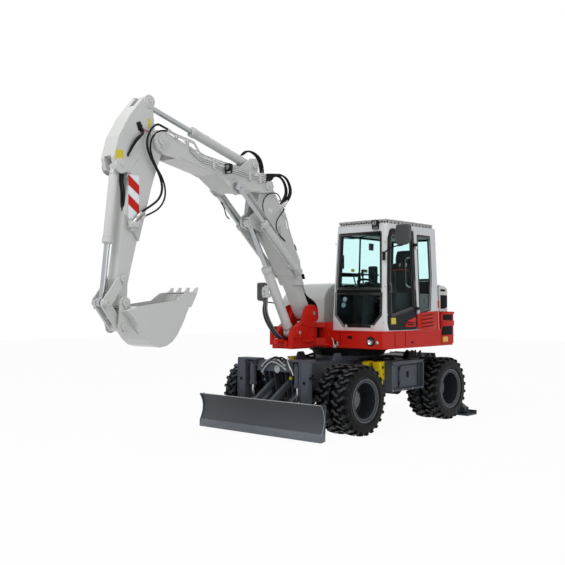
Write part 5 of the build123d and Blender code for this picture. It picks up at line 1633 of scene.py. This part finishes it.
def makeNose():
    # what shows between the nose's lugs, and the swing post's bosses, steps and far eye
    pieces = [
        rod((772, -96, 1305), (772, -96, 1445), 52, 6, 32), block((695, -160, 1305), (700, -20, 1440), 4),
    ]
    fitted("noseDark", pieces, "upper", glossBlack)
    lugs = [
        plate(softened([(600, 120), (645, 140), (760, 60), (880, 20), (880, -8), (600, -8)], 16),
              "plan", 1196, 26, 8, 3),
        plate(softened([(560, 105), (640, 105), (700, 60), (700, 20), (560, 20)], 12), "plan", 1430, 24, 8, 3),
        block((536, 104, 1408), (686, 112, 1522), 4), block((530, 96, 1514), (700, 112, 1534), 6, 3),
        block((636, 60, 1196), (652, 130, 1400), 6, 3),
    ]
    fitted("noseLugs", lugs, "upper", redPaint)
    post = []
    for side in (1, -1):
        level = -100 + side * 196
        foot = [(1000, 1175), (1425, 1175), (1420, 1225), (1000, 1225)]
        web = [(1205, 1240), (1240, 1240), (1110, 1560), (1080, 1560)]
        post += [
            collar(972, 1663, level, side, 96, 10, 50, 6), collar(1280, 1390, level, side, 72, 10, 44, 6, 4),
            plate(softened(foot, 14), "side", level + side * 6, 14, 4),
            plate(softened(web, 12), "side", level + side * 3, 8, 3),
        ]
    post += [
        plate(softened([(930, 130), (1180, 130), (1190, 92), (930, 92)], 16), "plan", 1262, 26, 8, 3),
        block((1425, -190, 1166), (1446, -10, 1280), 8, 3),
        plate(softened([(1436, -60), (1560, -78), (1588, -110), (1560, -142), (1436, -150)], 20),
              "plan", 1272, 46, 10, 3),
        turned([(1245, 36), (1300, 36), (1304, 32), (1304, 18), (1240, 18), (1241, 32)], (1548, -110, 0), "Z", 32),
    ]
    lug = [(1240, 1500), (1250, 1640), (1172, 1752), (1050, 1801), (960, 1764), (910, 1640), (914, 1540),
           (1010, 1450)]
    low = [(1440, 1450), (1400, 1478), (1290, 1476), (1196, 1452), (1190, 1330), (1290, 1304), (1440, 1318)]
    for level, side in ((104, 1), (-304, -1)):
        post.append(plate(softened(lug, 60, 6), "side", level - side * 4.4, 10, 4, 3))
        post.append(plate(softened(low, 40, 6), "side", level - side * 3, 9, 4, 3))
        post += [collar(x, z, level, side, 66, 12, 34, 2) for x, z in ((972, 1663), (1300, 1390))]
    fitted("postPlates", post, "swing_post", redPaint)
    fitted("postPin", rod((1548, -110, 1236), (1548, -110, 1310), 17, 3, 24), "swing_post", zinc)
    foot = [pipe([(1425, -60 - k * 22, 1300 - k * 4), (1380, -60 - k * 22, 1270), (1240, -70 - k * 16, 1244)], 10, 40)
            for k in range(4)]
    fitted("postHoses", foot, "swing_post", hoseRubber)


makeHoods()
makeTail()
makeBelt()
makeSkirt()
makeNose()
print("deck ready")

arm = {
    "y": machine["boomY"],
    "nearBoom": machine["boomY"] + 172,
    "nearStick": machine["boomY"] + 127,
}

# columns: foot pin, rod pin, rows across, barrel radius, barrel length, rod radius, where round the barrel its pipe
# runs (degrees from the side away from the ground)
cylinders = {
    "boom": ((1280, 1390), (2115, 2925), (-100,), 68, 1050, 37, 35),
    "adjust": ((1360, 2260), (2560, 3345), (-335, 135), 48, 969, 29, 150),
    "stick": ((2115, 3692), (3963, 4222), (-100,), 60, 1121, 35, 20),
    "bucket": ((4370, 3400), (4547, 1811), (-100,), 56, 905, 34, 100),
}


def along(piece, foot, tip, y):
    # from lying along X at the origin to lying between two pins
    a, b = at(foot[0], y, foot[1]), at(tip[0], y, tip[1])
    turn = (b - a).to_track_quat("X", "Z").to_matrix().to_4x4()
    piece.data.transform(Matrix.Translation(a) @ turn @ Matrix.Translation(-at(0, 0, 0)))
    return piece


def dressCylinder(foot, tip, y, radius, length, rodRadius, clock):
    # its welded foot, gland, weld rings, ports and the pipe to the gland
    gland = turned(
        [(length - 72, radius), (length - 66, radius + 7), (length - 8, radius + 7), (length, radius),
         (length, rodRadius + 1), (length - 72, rodRadius + 1)], (0, 0, 0), "X", 40,
    )
    wiper = turned(
        [(length, rodRadius + 14), (length + 9, rodRadius + 12), (length + 9, rodRadius + 1), (length, rodRadius + 1)],
        (0, 0, 0), "X", 32,
    )
    welds = [ring((place, 0, 0), radius + 0.5, 4, xWay, 40, 6) for place in (radius + 34, length - 76)]
    high = Vector((0, -sin(radians(clock)), cos(radians(clock))))

    def out(place, reach):
        return place, high.y * reach, high.z * reach

    lowPort, farPort = radius + 78, length - 48
    ports = [rod(out(place, radius - 6), out(place, radius + 26), 17, 2, 20) for place in (lowPort, farPort)]
    ports.append(rod(out(lowPort + 44, radius - 6), out(lowPort + 44, radius + 30), 19, 2, 6))
    line = pipe(
        [out(farPort, radius + 10), out(farPort, radius + 24), out(farPort - 70, radius + 20),
         out(lowPort + 110, radius + 20), out(lowPort + 44, radius + 22), out(lowPort + 44, radius + 34)], 9, 26,
    )
    clips = []
    for share in (0.3, 0.72):
        place = lowPort + share * (farPort - lowPort)
        clips.append(rod(out(place - 14, radius + 16), out(place + 14, radius + 16), 15, 2, 16))
    pieces = [gland, wiper, line] + welds + ports + clips
    return [along(piece, foot, tip, y) for piece in pieces]


def makeRodGuards():
    # a strip beside each adjusting rod, which slides along over its barrel
    foot, tip, rows, radius, length, rodRadius = cylinders["adjust"][:6]
    reach = hypot(tip[0] - foot[0], tip[1] - foot[1])
    pieces = []
    for y in rows:
        strip = [
            block((length - 280, low, radius + floor), (reach - 150, high, radius + top), 2.5)
            for low, high, floor, top in ((-36, 36, 18, 25), (-40, -34, 12, 24), (34, 40, 12, 24))
        ]
        strip.append(block((reach - 172, -24, rodRadius - 4), (reach - 152, 24, radius + 20)))
        pieces += [along(piece, foot, tip, y) for piece in strip]
    fitted("rodGuards", pieces, "adjust_cylinder_rod", armPaint)


def dressCylinders():
    for name, (foot, tip, rows, radius, length, rodRadius, clock) in cylinders.items():
        pieces = []
        for y in rows:
            hand = clock if y >= arm["y"] else -clock
            pieces += dressCylinder(foot, tip, y, radius, length, rodRadius, hand)
        fitted(name + "CylinderFittings", pieces, name + "_cylinder_barrel", armPaint)


# columns: pin centre, radius of the cap, level on the left and on the right of the arm, body
pinCaps = (
    ((1932, 3425), 62, 92, -292, "boom_upper"),
    ((3810, 3775), 62, 92, -292, "boom_upper"),
    ((972, 1663), 34, 104, -304, "swing_post"),
    ((1280, 1390), 30, 102, -302, "swing_post"),
    ((2115, 3692), 46, 14, -214, "boom_upper"),
    ((4370, 3400), 44, 30, -230, "stick"),
    ((3963, 4222), 50, 31, -231, "stick"),
    ((4326, 2090), 40, 32, -232, "stick"),
    ((4313, 1811), 42, 56, -256, "bucket"),
    ((4332, 1533), 40, 56, -256, "bucket"),
    ((4547, 1811), 36, 26, -226, "bucket_lever"),
    ((1360, 2260), 44, 176, -376, "boom_lower"),
)


def pinCap(x, z, radius, level, side):
    cap = turned(
        [(level - side * 6, 0), (level - side * 6, radius), (level + side * 5, radius), (level + side * 9, radius - 5),
         (level + side * 9, 0)], (x, 0, z), "Y", 32,
    )
    nut = bolts([(x, level + side * 9, z)], (0, side, 0), radius * 0.28)
    lock = plate(box(x - 16, z - radius - 34, x + 16, z - radius + 14), "side", level - side, 7)
    return [cap, nut, lock, bolts([(x, level + side * 3, z - radius - 20)], (0, side, 0), 9)]


def makePins():
    for index, ((x, z), radius, left, right, body) in enumerate(pinCaps):
        pieces = pinCap(x, z, radius, left, 1) + pinCap(x, z, radius, right, -1)
        fitted(f"pinCap{index}", pieces, body, zinc if body == "swing_post" else armPaint)
        px, pz = x + radius * 0.5, z + radius * 0.4
        nipples = [
            rod((px, level + side * 8, pz), (px, level + side * 18, pz), 5, 1, 8)
            for level, side in ((left, 1), (right, -1))
        ]
        fitted(f"greaseNipple{index}", nipples, body, zinc)


def sideWeld(points, level, radius=4.5):
    # a bead laid along a drawn line on a side face
    return hose([(x, level, z) for x, z in points], radius, 1, 2)


def dressBoom():
    near, far = arm["nearBoom"], arm["y"] - 172
    edges = []
    outlineTop = [(3532, 3591), (2921, 3474), (2808, 3402), (2640, 3300), (2560, 3272), (2480, 3302), (2066, 3320)]
    for level in (near, far):
        edges.append(sideWeld([(x, z + 13) for x, z in outlineTop], level, 4))
    # reinforcing plates under the adjusting cylinders' pins and round the joint
    for level, side in ((near, 1), (far, -1)):
        edges.append(plate(
            [(2390, 3308), (2560, 3276), (2640, 3306), (2760, 3380), (2700, 3430), (2560, 3450), (2420, 3430)],
            "side", level + side * 4, 8, 3,
        ))
        for x, z, radius, high in ((2560, 3345, 110, 12), (3810, 3775, 118, 10), (1932, 3425, 105, 10)):
            edges.append(collar(x, z, level, side, radius, high, 40))
    edges.append(plate([(2150, -244), (2150, 44), (2520, 44), (2520, -244)], "plan", 3563, 8, 3))
    fitted("boomPlates", edges, "boom_upper", armPaint)
    lower = []
    for level, side in ((50, 1), (-250, -1)):
        lower.append(sideWeld([(1150, 2085), (1365, 2150), (1700, 2650), (1640, 2880)], level, 4))
        lower.append(sideWeld([(1215, 2290), (1345, 2235)], level, 4))
        lower.append(collar(1360, 2260, level, side, 96, 10, 40))
    fitted("lowerBoomPlates", lower, "boom_lower", armPaint)


# x and z of the top pipe on the upper boom's left side, from its tip to the joint
boomPipe = (
    (3700, 3882), (3600, 3850), (3300, 3800), (3200, 3680), (3120, 3655), (2780, 3612), (2281, 3560), (2060, 3545),
)


def dressBoomPipes():
    near = arm["nearBoom"]
    pipes = []
    for index in range(5):
        step = 24 * index
        points = [(x, near + (15 if index else 9), z + 30 - step) for x, z in boomPipe]
        if index > 1:
            points = points[2:]
            points[0] = (3360, near + 15, 3778 + 24 - step)
        pipes.append(pipe(points, 9.5, 40))
    thin = pipe([(3330, -60, 3850), (3250, -60, 3790), (2700, -60, 3650), (2400, -60, 3590)], 7, 40)
    fitted("boomPipes", pipes + [thin], "boom_upper", armPaint)
    clamps = []
    for x, z, high, slope in (
        (3590, 3834, 50, 0.30), (3410, 3796, 60, 0.22), (2960, 3588, 130, 0.14), (2300, 3512, 130, 0.10),
        (2100, 3500, 130, 0.06),
    ):
        clamps.append(plate(
            [(x - 19, z - high / 2), (x + 19, z - high / 2 + 38 * slope), (x + 19, z + high / 2 + 38 * slope),
             (x - 19, z + high / 2)], "side", near + 15, 30, 5,
        ))
        clamps.append(bolts([(x, near + 30, z + high / 2 - 12), (x, near + 30, z - high / 2 + 16)], (0, 1, 0), 8))
    fitted("boomPipeClamps", clamps, "boom_upper", armPaint)
    unions = []
    for index in range(5):
        z = 3545 + 30 - 24 * index
        unions.append(rod((2075, near + 15, z), (2030, near + 15, z), 14, 2, 6))
        unions.append(rod((2030, near + 15, z), (1985, near + 15, z - 2), 12, 2, 16))
    for z in (3912, 3888):
        unions.append(rod((3690, near + 14, z - 2), (3735, near + 14, z + 8), 14, 2, 6))
    fitted("boomPipeUnions", unions, "boom_upper", zinc)


def stripe(points, level, thick=1.6):
    return plate(points, "side", level, thick, 0.4, 1)


def dressStick():
    near, far = arm["nearStick"], arm["y"] - 127
    welds = []
    for level, side in ((near, 1), (far, -1)):
        welds.append(sideWeld([(4300, 3270), (4050, 3640)], level, 5))
        welds.append(sideWeld([(4040, 3655), (3800, 3690)], level, 4))
        welds += [collar(4370, 3400, level, side, 92, 10, 36), collar(3963, 4222, level, side, 84, 8, 36)]
    for side in (-1, 1):
        welds.append(sideWeld([(4300, 2790), (4130, 2560)], arm["y"] + side * 88, 4))
    fitted("stickPlates", welds, "stick", armPaint)
    reds = [[(4268, top + 60), (4268, top - 60), (4110, top - 170), (4110, top - 60)] for top in (3250, 3020)]
    silvers = [
        [(4268, 3312), (4110, 3200), (4110, 3310)],
        [(4268, 3188), (4268, 3082), (4110, 2972), (4110, 3078)],
        [(4268, 2958), (4268, 2800), (4200, 2790), (4110, 2848)],
    ]
    fitted("hazardStripes", [stripe(points, near + 1.2) for points in reds], "stick", redPaint)
    fitted("hazardStripesPale", [stripe(points, near + 1.2) for points in silvers], "stick", stripeSilver)
    signs = [stripe(box(*corners), near + 1.2) for corners in ((4340, 3440, 4450, 3580), (3945, 3910, 3985, 4010))]
    fitted("stickSigns", signs, "stick", signYellow)
    # block on the stick's side where the long hoses end, with its unions
    manifold = [block((4120, near - 2, 2690), (4265, near + 60, 2760), 6, 3),
                block((4150, near - 2, 2650), (4240, near + 22, 2700), 4),
                bolts([(4140, near + 60, 2724), (4245, near + 60, 2724)], (0, 1, 0), 9)]
    fitted("stickManifold", manifold, "stick", armPaint)
    unions = []
    for (x0, z0), (x1, z1), level in (
        ((4215, 2762), (4100, 2880), near + 34), ((4160, 2762), (4040, 2842), near + 30),
    ):
        unions.append(rod((x0, level, z0 - 10), (x0 + (x1 - x0) * 0.55, level, z0 + (z1 - z0) * 0.55), 15, 2, 6))
        unions.append(rod((x0 + (x1 - x0) * 0.5, level, z0 + (z1 - z0) * 0.5), (x1, level, z1), 17, 2, 16))
    fitted("stickUnions", unions, "stick", zinc)
    # lines on the front of the stick, beside the bucket cylinder
    lines = []
    for level, x in ((-34, 0), (-60, 12), (-86, 0)):
        lines.append(hose(
            [(4300 + x, level, 3330), (4310 + x, level, 3240), (4282 + x, level, 3120), (4286 + x, level, 2990),
             (4270 + x, level, 2860)], 12,
        ))
    fitted("bucketCylinderHoses", lines, "stick", hoseRubber)
    # elbow hose and its grommet, high on the left side
    grommet = plate(
        [(4070, 3905), (4105, 3960), (4160, 3935), (4130, 3850), (4075, 3840)], "side", near + 6, 14, 6,
    )
    loops = [
        hose([(4110, near + 8, 3900), (4075, near + 40, 3850), (4110, near + 44, 3790), (4200, near + 30, 3690),
              (4270, near + 14, 3560), (4280, near - 4, 3540)], 14),
        hose([(4075, near + 14, 3850), (4080, near + 42, 3800), (4160, near + 44, 3770), (4250, near + 30, 3640),
              (4285, near + 8, 3520)], 12),
    ]
    fitted("stickElbowHoses", [grommet] + loops, "stick", hoseRubber)
    band = hose([(4085, near + 12, 3880), (4030, near + 16, 3860), (3960, near + 10, 3850)], 6)
    fitted("redBand", band, "stick", redPaint)


def centreLine(points):
    # the points that a hose follows, read from its bare curve
    wire = route(points, 1, wire=True)
    mesh = bpy.data.meshes.new_from_object(wire)
    found = [tuple(vertex.co) for vertex in mesh.vertices]
    bpy.data.objects.remove(wire)
    bpy.data.meshes.remove(mesh)
    return found


def freeHose(name, points, radius, bodies, start=None, end=None, finish=None):
    # a hose hung on its body when it has one; one across a joint is baked where it lies
    path = centreLine(points)
    piece = painted(hose(points, radius), name, finish or hoseRubber)
    if len(bodies) == 1:
        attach(piece, bodies[0])
    else:
        tuple(at(*start))
        tuple(at(*end))
        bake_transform(piece)
    return piece


def makeFreeHoses():
    near = arm["nearBoom"]
    freeHose(
        "longHoseOuter",
        [(3730, near + 14, 3918), (3800, near + 14, 3935), (3900, near + 22, 3960), (4010, near + 22, 3860),
         (4062, near + 20, 3700), (4002, near + 22, 3540), (3860, near + 20, 3360), (3800, near + 16, 3190),
         (3850, near + 8, 3050), (3990, near - 4, 2950), (4100, near - 11, 2882)],
        14, ("boom_upper", "stick"), (3740, 0, 3900), (4060, 0, 2960),
    )
    freeHose(
        "longHoseInner",
        [(3735, near + 14, 3894), (3830, near + 6, 3900), (3960, near - 6, 3790), (3990, near - 4, 3640),
         (3910, near, 3460), (3780, near + 2, 3300), (3738, near, 3120), (3800, near - 6, 2980),
         (3920, near - 12, 2890), (4040, near - 15, 2842)],
        11, ("boom_upper", "stick"), (3740, 0, 3880), (4010, 0, 2920),
    )
    # thick loops over the joint of the two booms
    for index in range(6):
        level = 78 - index * 26
        reach = (index % 3) * 30
        start = (1985, near + 15, 3573 - 24 * index) if index < 5 else (1990, -60, 3560)
        freeHose(
            f"jointHose{index}",
            [start, (1880, start[1] - 8, start[2] + 16), (1740 - reach, level + 20, 3600 + reach * 0.5),
             (1560 - reach, level + 6, 3590), (1440 - reach * 0.6, level - 10, 3460),
             (1430 - reach * 0.3, level - 20, 3330), (1500 + index * 8, level - 30, 3250 - index * 14)],
            14, ("boom_upper", "boom_lower"), (1940, 0, 3560), (1480, 0, 3340),
        )
    for index in range(3):
        y = -78 + index * 30
        freeHose(
            f"stickCylinderHose{index}",
            [(2290, y * 0.6 - 40, 3820), (2240, y - 10, 3880), (2130, y, 3896 - index * 8),
             (2010, y + 10, 3840 - index * 6), (1940, y + 10, 3720), (1920, y, 3600)],
            11, ("boom_upper", "stick_cylinder_barrel"), (2080, 0, 3760), (2280, 0, 3830),
        )
    freeHose(
        "thinLoop",
        [(1640, 52, 3250), (1700, 78, 3330), (1830, 82, 3345), (1960, 82, 3300), (2040, 82, 3200),
         (2040, 80, 3090), (1960, 68, 2990), (1960, 44, 2970)],
        8, ("boom_lower",),
    )
    freeHose(
        "lowLoop",
        [(1560, 40, 3140), (1600, 84, 3120), (1700, 92, 3040), (1780, 92, 2940), (1776, 92, 2830), (1690, 84, 2750),
         (1580, 64, 2700), (1540, 44, 2690)],
        9, ("boom_lower",),
    )
    freeHose(
        "smallLoop",
        [(2430, -338, 3190), (2400, -300, 3120), (2380, -296, 3030), (2360, -292, 2990), (2320, -280, 2962)],
        8, ("adjust_cylinder_barrel",),
    )


def dressLowerBoom():
    # unions where the loops end, and the lines on its back
    unions = []
    for index in range(6):
        x, z, y = 1500 + index * 8, 3250 - index * 14, 78 - index * 26 - 30
        unions.append(rod((x - 8, y, z + 16), (x + 22, y, z - 30), 16, 2, 6))
        unions.append(rod((x + 20, y, z - 26), (x + 52, y, z - 78), 13, 2, 16))
    for x, z in ((1640, 3250), (1560, 3140), (1540, 2690), (1960, 2972)):
        unions.append(rod((x, 22 if z > 2950 else 46, z), (x, 56 if z > 2950 else 60, z), 13, 2, 6))
    fitted("lowerBoomUnions", unions, "boom_lower", zinc)
    backLines = [plate([(1500, 3060), (1580, 3150), (1630, 3110), (1550, 3010)], "side", -60, 200, 6)]
    for index in range(5):
        y = 20 - index * 50
        backLines.append(pipe(
            [(1550 + index, y, 3130), (1470, y, 2990), (1440, y, 2880), (1190, y * 0.6 - 30, 2450),
             (1130, y * 0.6 - 30, 2200), (1010, y * 0.5 - 40, 1960)], 10, 60,
        ))
    fitted("backLines", backLines, "boom_lower", armPaint)
    straps = [plate([(1300, 2560), (1345, 2640), (1325, 2655), (1280, 2575)], "side", -80, 250, 4),
              plate([(1085, 2160), (1110, 2230), (1090, 2240), (1062, 2168)], "side", -80, 190, 4)]
    fitted("backStraps", straps, "boom_lower", castBlack)
    sign = stripe([(1800, 3060), (1870, 3100), (1850, 3140), (1780, 3100)], 26.2)
    fitted("lowerBoomSign", sign, "boom_lower", whitePlate)


def makeFootHoses():
    # from the back of the lower boom down behind its foot to the swing post
    for index in range(5):
        y = -20 - index * 38
        freeHose(
            f"footHose{index}",
            [(1012, y * 0.5 - 40, 1962), (960, y * 0.5 - 40, 1900), (850 - index * 6, y, 1850 - index * 10),
             (760 - index * 10, y, 1760), (740, y, 1640), (790, y, 1560), (850, y, 1530)],
            14, ("swing_post", "boom_lower"), (860, 0, 1620), (950, 0, 1880),
        )


def dressValve():
    # valve block on the boom cylinder, with the bundle that leads down to the swing post
    pieces = [
        block((1650, -215, 1890), (1735, -120, 1950), 8, 3), block((1692, -215, 1940), (1735, -120, 2040), 8, 3),
        block((1655, -240, 1925), (1720, -205, 2010), 6), rod((1720, -160, 2036), (1720, -160, 2060), 20, 3, 24),
        rod((1735, -170, 1940), (1765, -170, 1940), 18, 2, 6), rod((1735, -170, 2000), (1775, -170, 2000), 18, 2, 6),
    ]
    fitted("boomValve", pieces, "boom_cylinder_barrel", armPaint)
    for index in range(5):
        y = -222 + index * 22
        tone = hoseRubber if index % 2 else greyHose
        freeHose(
            f"valveHose{index}",
            [(1675 + index * 10, y, 1895), (1690 + index * 8, y, 1820), (1716 + index * 4, y, 1720),
             (1690, y + 4, 1600), (1610, y + 8, 1480), (1490, y + 10, 1360), (1405, y + 10, 1304)],
            11, ("swing_post", "boom_cylinder_barrel"), (1430, 0, 1320), (1690, 0, 1840), tone,
        )


stripeSilver = metal("stripeSilver", (0.62, 0.65, 0.68), 0.35, 0.05)
greyHose = rubber("greyHose", (0.16, 0.17, 0.18), 0.38, 0.05)
dressCylinders()
makeRodGuards()
makePins()
dressBoom()
dressBoomPipes()
workLight("boomLight", "boom_upper", (2754, 148, 3570), 92)
dressStick()
makeFreeHoses()
dressLowerBoom()
makeFootHoses()
dressValve()
print("arm ready")
